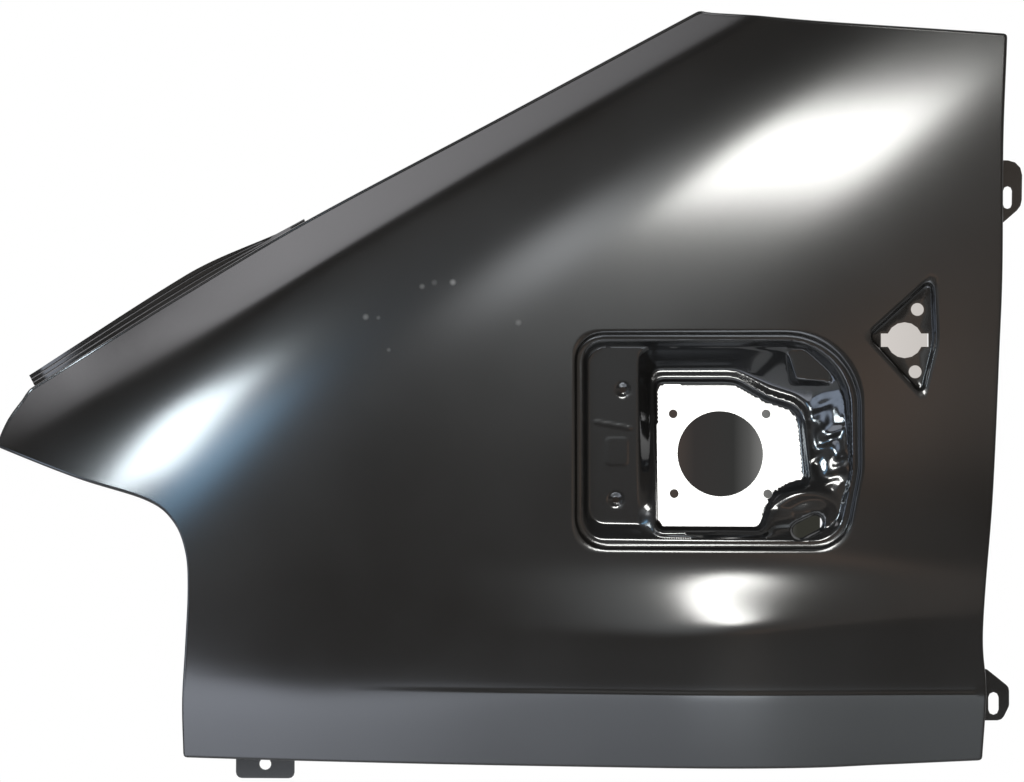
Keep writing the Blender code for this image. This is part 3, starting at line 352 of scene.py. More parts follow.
REAR_TANGENT_X = REAR_TANGENT * FENDER_LENGTH
CREASE_REAR_POINT = on_panel(CREASE_REAR)
CREASE_FRONT_POINT = on_panel(CREASE_FRONT)
CREASE_LENGTH = math.dist(CREASE_REAR_POINT, CREASE_FRONT_POINT)
CREASE_RISE = CREASE_REAR_POINT[1] - CREASE_FRONT_POINT[1]
CREASE_ANGLE = math.asin(CREASE_RISE / CREASE_LENGTH)
NECK_CENTRE = in_opening(NECK_PLACE)
LEDGE_CENTRE = in_opening(LEDGE_PLACE)
BOSS_CENTRE = in_opening(BOSS_PLACE)
HINGE_SCREWS = [in_opening(p) for p in HINGE_SCREW_PLACES]
LAMP_CENTRE = in_lamp(LAMP_HOLE_PLACE)
LAMP_SCREWS = [in_lamp(p) for p in LAMP_SCREW_PLACES]
POCKET_FACE = LIP_DROP + SKIN_SHEET + WELD_GAP
CAVITY_INSET = LIP_RUN + LANDING_WIDTH + 0.5


def soft_turn(distance, softness):
    """Zero on one side, a straight slope on the other, with a rounded change between them."""
    return softness * np.logaddexp(0.0, distance / softness)


def smooth_step(t):
    t = np.clip(t, 0.0, 1.0)
    return t * t * (3.0 - 2.0 * t)


def crease_coordinates(x, z):
    """Distance along the shoulder crease, and distance below it."""
    dx = x - CREASE_REAR_POINT[0]
    dz = z - CREASE_REAR_POINT[1]
    along = dx * math.cos(CREASE_ANGLE) + dz * math.sin(CREASE_ANGLE)
    below = dx * math.sin(CREASE_ANGLE) - dz * math.cos(CREASE_ANGLE)
    return along, below


def plan_depth(x):
    ahead = REAR_TANGENT_X - x
    sweep = NOSE_SWEEP * (np.maximum(ahead, 0.0) / FENDER_LENGTH) ** 4
    return ahead * ahead / (2.0 * PLAN_RADIUS) - REAR_TOE * ahead + sweep


def shoulder_depth(x, z):
    along, below = crease_coordinates(x, z)
    slope = CROWN_DEPTH / CROWN_LENGTH
    crown = CROWN_DEPTH * np.exp(-np.maximum(below, 0.0) / CROWN_LENGTH) + slope * np.maximum(-below, 0.0)
    share = -along / CREASE_LENGTH
    softness = CREASE_SOFTNESS + NOSE_SOFTNESS * smooth_step((share - SOFTENING_START) / SOFTENING_RUN)
    rise = BAND_SLOPE * (1.0 - BAND_FADE * smooth_step((share - BAND_FADE_START) / BAND_FADE_RUN))
    return crown + rise * soft_turn(-below, softness)


def ridge_height(x):
    return RIDGE_HEIGHT + RIDGE_RISE * smooth_step((x - RIDGE_RISE_START) / RIDGE_RISE_RUN)


def body_line_depth(x, z):
    """Flare above the ridge, and the sill band that stands a step proud below its crease and tucks under."""
    strength = smooth_step((x - LINE_START) / LINE_FADE_LENGTH)
    bulge = np.exp(-((x - FLARE_MIDDLE) / FLARE_REACH) ** 2)
    flare = strength * (FLARE_BASE + (FLARE_SLOPE - FLARE_BASE) * bulge)
    above_ridge = soft_turn(FLARE_HEIGHT - z, FLARE_SOFTNESS) - soft_turn(ridge_height(x) - z, RIDGE_SOFTNESS)
    below_crease = SILL_CREASE_HEIGHT - z
    softness = SILL_CREASE_SOFTNESS + NOSE_SOFTNESS * (1.0 - strength)
    tuck = SILL_TUCK * soft_turn(below_crease, softness)
    proud = SILL_STEP * strength * smooth_step(0.5 + below_crease / SILL_STEP_HEIGHT)
    return tuck - flare * above_ridge - proud


def body_depth(x, z):
    """Depth of the skin's outer face before anything is pressed into it."""
    return plan_depth(x) + shoulder_depth(x, z) + body_line_depth(x, z)


def body_depth_at(point):
    return float(body_depth(np.array([point[0]]), np.array([point[1]]))[0])


def unit(vectors):
    return vectors / np.hypot(*vectors.T)[..., None]


def resample(points, step):
    """Even points along an open polyline, ends kept."""
    points = np.asarray(points, float)
    lengths = np.concatenate(([0.0], np.cumsum(np.hypot(*np.diff(points, axis=0).T))))
    count = max(1, round(lengths[-1] / step))
    marks = np.linspace(0.0, lengths[-1], count + 1)
    return np.column_stack([np.interp(marks, lengths, points[:, k]) for k in (0, 1)])


def spline(points, step):
    """Smooth curve through the given points (Catmull-Rom), evenly sampled."""
    knots = [np.array(p, float) for p in points]
    knots = [2 * knots[0] - knots[1]] + knots + [2 * knots[-1] - knots[-2]]
    fine = [knots[1]]
    for a, b, c, d in zip(knots, knots[1:], knots[2:], knots[3:]):
        for t in np.linspace(0.0, 1.0, SPLINE_PIECES + 1)[1:]:
            fine.append(0.5 * (2 * b + (c - a) * t + (2 * a - 5 * b + 4 * c - d) * t * t
                               + (3 * b - a - 3 * c + d) * t ** 3))
    return resample(fine, step)


def rounded_outline(corners, inset, step):
    """Closed outline, anticlockwise: straight sides moved in by inset, corners rounded to suit."""
    points = [np.array(c[:2], float) for c in corners]
    radii = [c[2] for c in corners]
    area = sum(p[0] * q[1] - q[0] * p[1] for p, q in zip(points, points[1:] + points[:1]))
    if area < 0:
        points.reverse()
        radii.reverse()
    count = len(points)
    directions = [unit(points[(i + 1) % count] - points[i]) for i in range(count)]
    outline = []
    for i in range(count):
        before = directions[i - 1]
        after = directions[i]
        left_before = np.array([-before[1], before[0]])
        left_after = np.array([-after[1], after[0]])
        sine = before[0] * after[1] - before[1] * after[0]
        cosine = float(before @ after)
        corner = points[i] + inset * (left_before + left_after) / (1.0 + cosine)
        if abs(sine) < STRAIGHT_SINE:
            outline.append(corner)
            continue
        radius = max(radii[i] - math.copysign(inset, sine), SMALLEST_RADIUS)
        reach = radius * abs(math.tan(math.atan2(sine, cosine) / 2.0))
        side = math.copysign(1.0, sine)
        centre = corner - before * reach + side * radius * left_before
        start = math.atan2(*(-side * left_before)[::-1])
        sweep = math.atan2(sine, cosine)
        pieces = max(2, round(abs(sweep) * radius / step), round(abs(sweep) / LARGEST_ARC_TURN))
        for k in range(pieces + 1):
            angle = start + sweep * k / pieces
            outline.append(centre + radius * np.array([math.cos(angle), math.sin(angle)]))
    closed = outline + outline[:1]
    filled = []
    for p, q in zip(closed, closed[1:]):
        parts = max(1, round(float(np.hypot(*(q - p))) / step))
        filled += [p + (q - p) * k / parts for k in range(parts)]
    return np.array(filled)


def circle(centre, diameter, count):
    angles = [2 * math.pi * k / count for k in range(count)]
    return np.array([(centre[0] + diameter / 2 * math.cos(a), centre[1] + diameter / 2 * math.sin(a))
                     for a in angles])


def slot(centre, length, width, angle, arc_points):
    """Obround outline, anticlockwise, its long axis turned by angle."""
    half = (length - width) / 2
    radius = width / 2
    axis = np.array([math.cos(angle), math.sin(angle)])
    outline = []
    for end in (1, -1):
        for k in range(arc_points + 1):
            a = angle + (math.pi if end < 0 else 0.0) - math.pi / 2 + math.pi * k / arc_points
            tip = np.array(centre) + end * half * axis
            outline.append(tip + radius * np.array([math.cos(a), math.sin(a)]))
    return np.array(outline)


def signed_distance(points, loop):
    """Distance from each point to a closed outline, positive inside it."""
    a = np.asarray(loop, float)
    b = np.roll(a, -1, axis=0)
    best = np.full(len(points), 1e9)
    inside = np.zeros(len(points), bool)
    px, pz = points.T
    for (ax, az), (bx, bz) in zip(a, b):
        dx = bx - ax
        dz = bz - az
        t = np.clip(((px - ax) * dx + (pz - az) * dz) / (dx * dx + dz * dz), 0.0, 1.0)
        best = np.minimum(best, np.hypot(px - ax - t * dx, pz - az - t * dz))
        crosses = (az > pz) != (bz > pz)
        inside ^= crosses & (px < ax + (pz - az) * dx / (dz if dz else 1.0))
    return np.where(inside, best, -best)


def wall_profile(t, ease=SOFT_EASE):
    """Rounded foot and rounded shoulder of a pressed wall, straight between them."""
    slope = 1.0 / (1.0 - ease)
    low = slope * t * t / (2 * ease)
    high = 1.0 - slope * (1.0 - t) ** 2 / (2 * ease)
    return np.where(t < ease, low, np.where(t > 1.0 - ease, high, slope * (t - ease / 2)))


def press(points, depth, outer, inner, target, ease=SOFT_EASE):
    """Push the sheet to the target depth inside inner, with a wall between outer and inner."""
    into = np.maximum(signed_distance(points, outer), 0.0)
    short = np.maximum(-signed_distance(points, inner), 0.0)
    t = into / np.maximum(into + short, 1e-6)
    return depth + wall_profile(t, ease) * (target - depth)


def opening_outline(inset, step, corners=OPENING_CORNERS):
    return rounded_outline([(*in_opening(c), c[2] * OPENING_HEIGHT) for c in corners], inset, step)


def lamp_outline(inset, step):
    return rounded_outline([(*in_lamp(c), c[2] * LAMP_HEIGHT) for c in LAMP_CORNERS], inset, step)


def plane(points, centre, depth, turn, tilt):
    """Depth of a flat face through a centre, from how it leans along x and along z."""
    return depth + turn * (points[:, 0] - centre[0]) + tilt * (points[:, 1] - centre[1])


def lamp_floor_depth(points):
    """Flat floor of the side lamp recess, parallel to the skin at its centre."""
    x, z = LAMP_CENTRE
    here = body_depth_at(LAMP_CENTRE)
    reach = LAMP_HOLE / 3
    slope_x = (body_depth_at((x + reach, z)) - here) / reach
    slope_z = (body_depth_at((x, z + reach)) - here) / reach
    return plane(points, LAMP_CENTRE, here + LAMP_DROP, slope_x, slope_z)


def skin_depth(points):
    depth = body_depth(*points.T)
    landing = depth + LIP_DROP
    lip_foot = opening_outline(LIP_RUN, FINE_STEP)
    depth = press(points, depth, opening_outline(0.0, FINE_STEP), lip_foot, landing)
    return press(points, depth, lamp_outline(0.0, FINE_STEP), lamp_outline(LAMP_WALL, FINE_STEP),
                 lamp_floor_depth(points))


def floor_plane(points):
    return plane(points, NECK_CENTRE, FLOOR_DEPTH, FLOOR_TURN, FLOOR_TILT)


def step_plane(points):
    """Step band round the floor: it meets the floor's top edge a step out, and leans more than the floor."""
    edge_height = in_opening(FLOOR_TOP_CORNERS[0])[1]
    lean = (STEP_TILT - FLOOR_TILT) * (points[:, 1] - edge_height)
    return floor_plane(points) - FLOOR_STEP + lean


def wrinkles(points):
    """Small waves drawn into the right wall of the pocket."""
    x, z = points.T
    middle_x, middle_z = in_opening(WRINKLE_PLACE)
    across = (x - middle_x) / (WRINKLE_SPREAD[0] * OPENING_WIDTH)
    up = (z - middle_z) / (WRINKLE_SPREAD[1] * OPENING_HEIGHT)
    share = np.exp(-across ** 6 - up ** 6)
    waves = 0.0
    for strength, rate_x, rate_z, swerve, swerve_x, swerve_z in WRINKLE_WAVES:
        bent = swerve * np.sin(swerve_x * x + swerve_z * z)
        waves = waves + strength * np.sin(rate_x * x + rate_z * z + bent)
    return WRINKLE_RISE * share * waves


def pocket_depth(points):
    depth = body_depth(*points.T) + POCKET_FACE
    facet = FACET_DEPTH + FACET_TILT * (points[:, 1] - in_opening(FACET_CORNERS[-1])[1])
    cavity = opening_outline(CAVITY_INSET, FINE_STEP)
    ledge = opening_outline(0.0, FINE_STEP, LEDGE_CORNERS)
    ledge_face = plane(points, LEDGE_CENTRE, LEDGE_DEPTH, LEDGE_TURN, LEDGE_TILT)
    depth = press(points, depth, cavity, ledge, ledge_face)
    pad = depth - LEDGE_PAD_RISE
    for outer, inner, target, ease in ((POCKET_TOP_CORNERS, STEP_CORNERS, step_plane(points), SHARP_EASE),
                                       (FACET_OUTER_CORNERS, FACET_CORNERS, facet, SOFT_EASE),
                                       (FLOOR_TOP_CORNERS, FLOOR_CORNERS, floor_plane(points), SOFT_EASE),
                                       (LEDGE_PAD_OUTER_CORNERS, LEDGE_PAD_CORNERS, pad, SOFT_EASE)):
        depth = press(points, depth, opening_outline(0.0, FINE_STEP, outer),
                      opening_outline(0.0, FINE_STEP, inner), target, ease)
    start, end = (np.array(in_opening(p)) for p in LEDGE_BEAD)
    along = np.clip((points - start) @ (end - start) / ((end - start) @ (end - start)), 0.0, 1.0)
    from_bead = np.hypot(*(points - start - along[:, None] * (end - start)).T)
    t = np.clip(1.0 - 2.0 * from_bead / LEDGE_BEAD_WIDTH, 0.0, 1.0)
    depth = depth - LEDGE_BEAD_RISE * wall_profile(t) + wrinkles(points)
    from_boss = np.hypot(*(points - BOSS_CENTRE).T)
    t = np.clip((BOSS_FOOT_RADIUS - from_boss) / (BOSS_FOOT_RADIUS - BOSS_TOP_RADIUS), 0.0, 1.0)
    raised = depth + wall_profile(t) * (BOSS_DEPTH - depth)
    depth = np.minimum(depth, raised)
    to_drain = signed_distance(points, slot(BOSS_CENTRE, DRAIN_LENGTH, DRAIN_WIDTH, DRAIN_ANGLE, 8))
    depth = depth + DRAIN_DROP * wall_profile(np.clip(1.0 + to_drain / DRAIN_COLLAR, 0.0, 1.0))
    for centre in HINGE_SCREWS:
        away = np.hypot(*(points - centre).T)
        dish = (HINGE_DIMPLE / 2 - away) / (HINGE_DIMPLE / 2 - HINGE_SCREW_HOLE / 2)
        depth = depth + HINGE_DIMPLE_DROP * wall_profile(np.clip(dish, 0.0, 1.0))
    return depth


def hex_grid(low, high, step):
    rows = np.arange(low[1], high[1], step * math.sqrt(3) / 2)
    points = []
    for i, z in enumerate(rows):
        for x in np.arange(low[0] + (i % 2) * step / 2, high[0], step):
            points.append((x, z))
    return np.array(points)


def clear_of(points, nets, distance):
    """Points that keep a distance from every point of the given nets."""
    others = np.vstack(nets)
    keep = np.ones(len(points), bool)
    for start in range(0, len(points), 2000):
        block = points[start:start + 2000]
        gaps = np.hypot(block[:, None, 0] - others[None, :, 0], block[:, None, 1] - others[None, :, 1])
        keep[start:start + 2000] = gaps.min(axis=1) > distance
    return points[keep]


def triangulate(boundary, holes, rings, loose):
    """Net of triangles inside the boundary and outside the holes, with the given rings as edges."""
    points = []
    edges = []
    for loop in [boundary] + holes + rings:
        start = len(points)
        points += [Vector(p) for p in loop]
        edges += [(start + i, start + (i + 1) % len(loop)) for i in range(len(loop))]
    points += [Vector(p) for p in loose]
    out_points, _, faces, origin, _, _ = delaunay_2d_cdt(points, edges, [], 0, 1e-4)
    net = np.array([(p.x, p.y) for p in out_points])
    triangles = np.array([f[:] for f in faces])
    centres = net[triangles].mean(axis=1)
    keep = signed_distance(centres, boundary) > 0
    for hole in holes:
        keep &= signed_distance(centres, hole) < 0
    a, b, c = (net[triangles[:, k]] for k in range(3))
    area = ((b[:, 0] - a[:, 0]) * (c[:, 1] - a[:, 1]) - (b[:, 1] - a[:, 1]) * (c[:, 0] - a[:, 0])) / 2
    triangles[area < 0] = triangles[area < 0][:, ::-1]
    triangles = triangles[keep & (np.abs(area) > SMALLEST_AREA)]
    place = {source: i for i, sources in enumerate(origin) for source in sources}
    rim = [place[i] for i in range(len(boundary))]
    return net, triangles.tolist(), rim


def edge(knots, step):
    """Edge curve of the skin through knots given as shares of the panel."""
    return spline([on_panel(k) for k in knots], step)


def skin_sides(step):
    """The six edges of the skin in anticlockwise order, each an open curve."""
    sides = [edge(k, step) for k in (LEADING_EDGE, BUMPER_EDGE, SILL_EDGE, DOOR_EDGE, SCREEN_EDGE)]
    return sides + [edge(BONNET_EDGE, step)[::-1]]


def skin_outline(step, inset):
    """Closed outline of the skin with rounded corners, moved in by inset."""
    sides = skin_sides(step)
    loop = []
    for side, following in zip(sides, sides[1:] + sides[:1]):
        from_ends = np.minimum(np.hypot(*(side - side[0]).T), np.hypot(*(side - side[-1]).T))
        back = side[-2] - side[-1]
        on = following[1] - following[0]
        into = side[-1] + unit(back) * CORNER_CUT
        away = following[0] + unit(on) * CORNER_CUT
        loop += list(side[from_ends > CORNER_CUT * 1.2])
        for t in (0.0, 0.33, 0.67, 1.0):
            loop.append((1 - t) ** 2 * into + 2 * t * (1 - t) * side[-1] + t * t * away)
    loop = np.array(loop)
    ahead = unit(np.roll(loop, -1, axis=0) - loop)
    mean = ahead + np.roll(ahead, 1, axis=0)
    return loop + inset * unit(np.column_stack([-mean[:, 1], mean[:, 0]]))


def feature_lines(step, boundary):
    """Points along the crease and the body lines, so that the net bends where the skin bends."""
    lines = []
    marks = np.arange(-1.1 * CREASE_LENGTH, 0.2 * CREASE_LENGTH, step)
    for below in CREASE_ROWS:
        x = CREASE_REAR_POINT[0] + marks * math.cos(CREASE_ANGLE) + below * math.sin(CREASE_ANGLE)
        z = CREASE_REAR_POINT[1] + marks * math.sin(CREASE_ANGLE) - below * math.cos(CREASE_ANGLE)
        lines.append(np.column_stack([x, z]))
    marks = np.arange(0.0, FENDER_LENGTH, step)
    lines += [np.column_stack([marks, ridge_height(marks) + away]) for away in LINE_ROWS]
    lines += [np.column_stack([marks, np.full(len(marks), SILL_CREASE_HEIGHT + away)]) for away in STEP_ROWS]
    return [line[signed_distance(line, boundary) > step * 0.3] for line in lines]


def lamp_hole_outline():
    """Bayonet hole: a round hole with two square ears."""
    radius = LAMP_HOLE / 2
    half = math.asin(LAMP_EAR_HEIGHT / 2 / radius)
    outline = []
    for side in (0.0, math.pi):
        for a in np.linspace(side + half, side + math.pi - half, 7):
            outline.append((LAMP_CENTRE[0] + radius * math.cos(a), LAMP_CENTRE[1] + radius * math.sin(a)))
        ear = -1 if side == 0.0 else 1
        x = LAMP_CENTRE[0] + ear * LAMP_EAR_SPAN / 2
        for down in (ear, -ear):
            outline.append((x, LAMP_CENTRE[1] - down * LAMP_EAR_HEIGHT / 2))
    return np.array(outline)


def bend_position(u, radius):
    """Place of a blank's point round a right-angle bend: (inboard along the foot, out along the tab)."""
    length = radius * math.pi / 2
    if u <= 0:
        return u, 0.0
    if u >= length:
        return radius, radius + u - length
    return radius * math.sin(u / radius), radius * (1.0 - math.cos(u / radius))


def flange_end_depth(points):
    """Depth at which the return flange of the skin ends."""
    return float(body_depth(*points.T).max()) + EDGE_BEND_RADIUS + RETURN_FLANGE


def part_origin():
    """Place of the frame's origin in millimetres from the nose, the outermost face and the sill."""
    low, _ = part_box("outer_skin")
    outline = skin_outline(EDGE_STEP, 0.0)
    x, z = outline.min(axis=0)
    fine = hex_grid(outline.min(axis=0), outline.max(axis=0), 4 * GRID_STEP)
    fine = fine[signed_distance(fine, outline) > 0]
    depth = body_depth(*fine.T).min()
    return x - low.x * 1000, depth - low.y * 1000, z - low.z * 1000


ORIGIN = part_origin()


def to_frame(x, depth, z):
    return Vector(((x - ORIGIN[0]) / 1000, (depth - ORIGIN[1]) / 1000, (z - ORIGIN[2]) / 1000))


def add_object(name, data):
    piece = bpy.data.objects.new(name, data)
    bpy.context.scene.collection.objects.link(piece)
    return piece


def sheet_piece(name, points, triangles, thickness, material, node):
    """Closed solid that stands for a CAD node: the net is its outer face, the thickness lies behind it."""
    mesh = bpy.data.meshes.new(name)
    mesh.from_pydata([to_frame(*p) for p in points], [], triangles)
    net = bmesh.new()
    net.from_mesh(mesh)
    bmesh.ops.delete(net, geom=[v for v in net.verts if not v.link_faces], context="VERTS")
    bmesh.ops.remove_doubles(net, verts=net.verts, dist=SMALLEST_EDGE / 1000)
    bmesh.ops.dissolve_degenerate(net, edges=net.edges, dist=SMALLEST_EDGE / 1000)
    bmesh.ops.triangulate(net, faces=net.faces)
    net.to_mesh(mesh)
    net.free()
    piece = add_object(name, mesh)
    solid = piece.modifiers.new("Sheet thickness", "SOLIDIFY")
    solid.thickness = thickness / 1000
    solid.offset = -1.0
    solid.use_even_offset = True
    solid.use_quality_normals = True
    mesh.materials.append(material)
    made = bpy.data.meshes.new_from_object(piece.evaluated_get(bpy.context.evaluated_depsgraph_get()))
    made.name = name
    piece.modifiers.clear()
    piece.data = made
    made.shade_smooth()
    made.set_sharp_from_angle(angle=math.radians(SHARP_ANGLE))
    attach(piece, "root")
    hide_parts(node)


def make_skin(material):
    outline = skin_outline(EDGE_STEP, 0.0)
    boundary = skin_outline(EDGE_STEP, EDGE_BEND_RADIUS)
    hole = opening_outline(LIP_RUN + LANDING_WIDTH, OPENING_STEP)
    holes = [hole, lamp_hole_outline()] + [circle(c, LAMP_SCREW_HOLE, 24) for c in LAMP_SCREWS]
    rings = [opening_outline(LIP_RUN * k, OPENING_STEP) for k in WALL_SHARES]
    rings += [lamp_outline(LAMP_WALL * k, LAMP_STEP) for k in WALL_SHARES]
    rings += [opening_outline(-LIP_RUN, OPENING_STEP), lamp_outline(-LAMP_WALL, LAMP_STEP)]
    edge_rings = [skin_outline(EDGE_STEP, EDGE_BEND_RADIUS + k) for k in EDGE_RINGS]
    lines = feature_lines(EDGE_STEP, edge_rings[-1])
    grid = hex_grid(outline.min(axis=0), outline.max(axis=0), GRID_STEP)
    half = GRID_STEP / 2
    grid = grid[signed_distance(grid, edge_rings[-1]) > half]
    grid = grid[signed_distance(grid, rings[-2]) < -half]
    grid = grid[signed_distance(grid, rings[-1]) < -half]
    lines = [line[(signed_distance(line, rings[-2]) < -1) & (signed_distance(line, rings[-1]) < -1)]
             for line in lines]
    grid = clear_of(grid, lines, half)
    net, triangles, rim = triangulate(boundary, holes, rings + edge_rings, np.vstack(lines + [grid]))
    depth = skin_depth(net)
    points = [(p[0], d, p[1]) for p, d in zip(net, depth)]
    previous = rim
    base = depth[rim]
    left = (boundary - outline) / EDGE_BEND_RADIUS
    turns = [(math.radians(a), 0.0) for a in range(15, 91, 15)]
    turns += [(math.radians(90), RETURN_FLANGE * k) for k in (0.5, 1.0)]
    for angle, extra in turns:
        shift = EDGE_BEND_RADIUS * (1.0 - math.sin(angle))
        drop = EDGE_BEND_RADIUS * (1.0 - math.cos(angle)) + extra
        start = len(points)
        points += [(p[0] + shift * n[0], b + drop, p[1] + shift * n[1])
                   for p, n, b in zip(outline, left, base)]
        ring = list(range(start, len(points)))
        for a, b, c, d in zip(previous, previous[1:] + previous[:1], ring, ring[1:] + ring[:1]):
            triangles += [(b, a, c), (b, c, d)]
        previous = ring
    sheet_piece("outer_skin_panel", points, triangles, SKIN_SHEET, material, "outer_skin")


def make_pocket(material):
    step = POCKET_STEP
    boundary = opening_outline(-POCKET_FLANGE, OPENING_STEP)
    screws = [(NECK_CENTRE[0] + i * NECK_SCREW_PITCH_X / 2, NECK_CENTRE[1] + j * NECK_SCREW_PITCH_Z / 2)
              for i in (-1, 1) for j in (-1, 1)]
    holes = [circle(NECK_CENTRE, NECK_HOLE, 96),
             slot(BOSS_CENTRE, DRAIN_LENGTH, DRAIN_WIDTH, DRAIN_ANGLE, 16)]
    holes += [circle(c, NECK_SCREW_HOLE, 20) for c in screws]
    holes += [circle(c, HINGE_SCREW_HOLE, 20) for c in HINGE_SCREWS]
    rings = [opening_outline(CAVITY_INSET, OPENING_STEP)]
    for corners in (LEDGE_CORNERS, POCKET_TOP_CORNERS, STEP_CORNERS):
        rings.append(opening_outline(0.0, step, corners))
    for outer, inner in ((FLOOR_TOP_CORNERS, FLOOR_CORNERS), (FACET_OUTER_CORNERS, FACET_CORNERS),
                         (LEDGE_PAD_OUTER_CORNERS, LEDGE_PAD_CORNERS)):
        for share in WALL_SHARES:
            corners = np.array(outer) * (1.0 - share) + np.array(inner) * share
            rings.append(opening_outline(0.0, step, corners))
    rings += [circle(c, HINGE_DIMPLE, 24) for c in HINGE_SCREWS]
    for k in (0.25, 0.5, 0.75, 1.0):
        collar = 2 * DRAIN_COLLAR * k
        rings.append(slot(BOSS_CENTRE, DRAIN_LENGTH + collar, DRAIN_WIDTH + collar, DRAIN_ANGLE, 16))
    grid = hex_grid(boundary.min(axis=0), boundary.max(axis=0), step)
    grid = grid[signed_distance(grid, boundary) > step / 2]
    for hole in holes:
        grid = grid[signed_distance(grid, hole) < -step / 3]
    grid = clear_of(grid, rings, step * 0.4)
    net, triangles, _ = triangulate(boundary, holes, rings, grid)
    depth = pocket_depth(net)
    points = [(p[0], d, p[1]) for p, d in zip(net, depth)]
    sheet_piece("filler_pocket_panel", points, triangles, POCKET_SHEET, material,
                "filler_pocket")


def make_rail(material):
    """Stepped strip along the front of the bonnet edge: foot inside the flange, upstand beyond its end."""
    side = edge(BONNET_EDGE, EDGE_STEP)[::-1]
    side = side[(side[:, 0] > RAIL_START) & (side[:, 0] < RAIL_END)]
    radius = RAIL_BEND + RAIL_SHEET
    inward = SKIN_SHEET + WELD_GAP + RAIL_SHEET
    bend = radius * math.pi / 2
    ahead = unit(np.gradient(side, axis=0))
    outward = np.column_stack([ahead[:, 1], -ahead[:, 0]])
    points = []
    for i, (p, n) in enumerate(zip(side, outward)):
        share = i / (len(side) - 1)
        growth = float(smooth_step(share / RAIL_TAPER)) * (1.0 - RAIL_NOSE_DROP * share * share)
        height = RAIL_END_HEIGHT + (RAIL_HEIGHT - RAIL_END_HEIGHT) * growth
        end = np.minimum(flange_end_depth(p[None, :]) + RAIL_CLEARANCE, RAIL_DEEPEST)
        section = [(-RAIL_FOOT, 0.0), (-RAIL_FOOT / 2, 0.0)]
        section += [(bend * k / 6, 0.0) for k in range(7)]
        rise = (height + inward - radius) / 3
        for k in (1, 2):
            half = RAIL_STEP_RUN / 2
            section.append((bend + rise * k - half, (k - 1) * RAIL_STEP))
            section.append((bend + rise * k + half, k * RAIL_STEP))
        section.append((bend + rise * 3, 2 * RAIL_STEP))
        for u, joggle in section:
            inboard, out = bend_position(u, radius)
            x, z = p + (out - inward) * n
            points.append((x, end + inboard + joggle, z))
    count = len(section)
    triangles = []
    for a in (i * count + k for i in range(len(side) - 1) for k in range(count - 1)):
        b = a + count
        triangles += [(a, b + 1, a + 1), (a, b, b + 1)]
    sheet_piece("bonnet_side_rail_strip", points, triangles, RAIL_SHEET, material,
                "bonnet_side_rail")


def new_material(name):
    material = bpy.data.materials.new(name)
    material.use_nodes = True
    nodes = material.node_tree.nodes
    return material, nodes, material.node_tree.links, nodes["Principled BSDF"]


def add_node(nodes, kind, values):
    """New node with some of its inputs set."""
    node = nodes.new(kind)
    for name, value in values.items():
        node.inputs[name].default_value = value
    return node


def add_ramp(nodes, stops):
    """Colour ramp through stops that are each a position and a colour."""
    ramp = nodes.new("ShaderNodeValToRGB")
    elements = ramp.color_ramp.elements
    for k in (0, -1):
        elements[k].position = stops[k][0]
        elements[k].color = (*stops[k][1], 1.0)
    for position, colour in stops[1:-1]:
        elements.new(position).color = (*colour, 1.0)
    return ramp


def primer(name, dark, light, roughness, spread, grain, specks=()):
    """Black electrocoat: nearly even colour and gloss, with a faint orange peel and a few specks of dust."""
    material, nodes, links, shader = new_material(name)
    place = nodes.new("ShaderNodeTexCoord").outputs["Object"]
    cloud = add_node(nodes, "ShaderNodeTexNoise", {"Scale": CLOUD_SCALE, "Detail": 4.0})
    links.new(place, cloud.inputs["Vector"])
    colour = add_ramp(nodes, tuple(zip(CLOUD_STOPS, (dark, light))))
    links.new(cloud.outputs["Fac"], colour.inputs["Fac"])
    coat = colour.outputs["Color"]
    for x, z, radius, strength in specks:
        point = to_frame(x, 0.0, z)
        flat = add_node(nodes, "ShaderNodeVectorMath", {1: (1.0, 0.0, 1.0)})
        flat.operation = "MULTIPLY"
        links.new(place, flat.inputs[0])
        away = add_node(nodes, "ShaderNodeVectorMath", {1: (point.x, 0.0, point.z)})
        away.operation = "DISTANCE"
        links.new(flat.outputs["Vector"], away.inputs[0])
        spot = add_node(nodes, "ShaderNodeMapRange", {"From Min": 0.0, "From Max": radius / 1000,
                                                      "To Min": strength, "To Max": 0.0})
        spot.interpolation_type = "SMOOTHSTEP"
        links.new(away.outputs["Value"], spot.inputs["Value"])
        mix = nodes.new("ShaderNodeMix")
        mix.data_type = "RGBA"
        mix.inputs[7].default_value = DUST_COLOUR
        links.new(spot.outputs["Result"], mix.inputs[0])
        links.new(coat, mix.inputs[6])
        coat = mix.outputs[2]
    links.new(coat, shader.inputs["Base Color"])
    gloss = add_node(nodes, "ShaderNodeMapRange", {"To Min": roughness - spread,
                                                   "To Max": roughness + spread})
    links.new(cloud.outputs["Fac"], gloss.inputs["Value"])
    links.new(gloss.outputs["Result"], shader.inputs["Roughness"])
    peel = add_node(nodes, "ShaderNodeTexNoise", {"Scale": PEEL_SCALE, "Detail": 2.0})
    links.new(place, peel.inputs["Vector"])
    bump = add_node(nodes, "ShaderNodeBump", {"Strength": grain, "Distance": PEEL_DEPTH})
    links.new(peel.outputs["Fac"], bump.inputs["Height"])
    links.new(bump.outputs["Normal"], shader.inputs["Normal"])
    return material


def toward(azimuth, elevation, distance, seen_from):
    """Place in a direction seen from a point of the panel: azimuth from straight in front, to the right."""
    a = math.radians(azimuth)
    e = math.radians(elevation)
    start = to_frame(seen_from[0], 0.0, seen_from[1])
    return start + distance * Vector((math.cos(e) * math.sin(a), -math.cos(e) * math.cos(a), math.sin(e)))


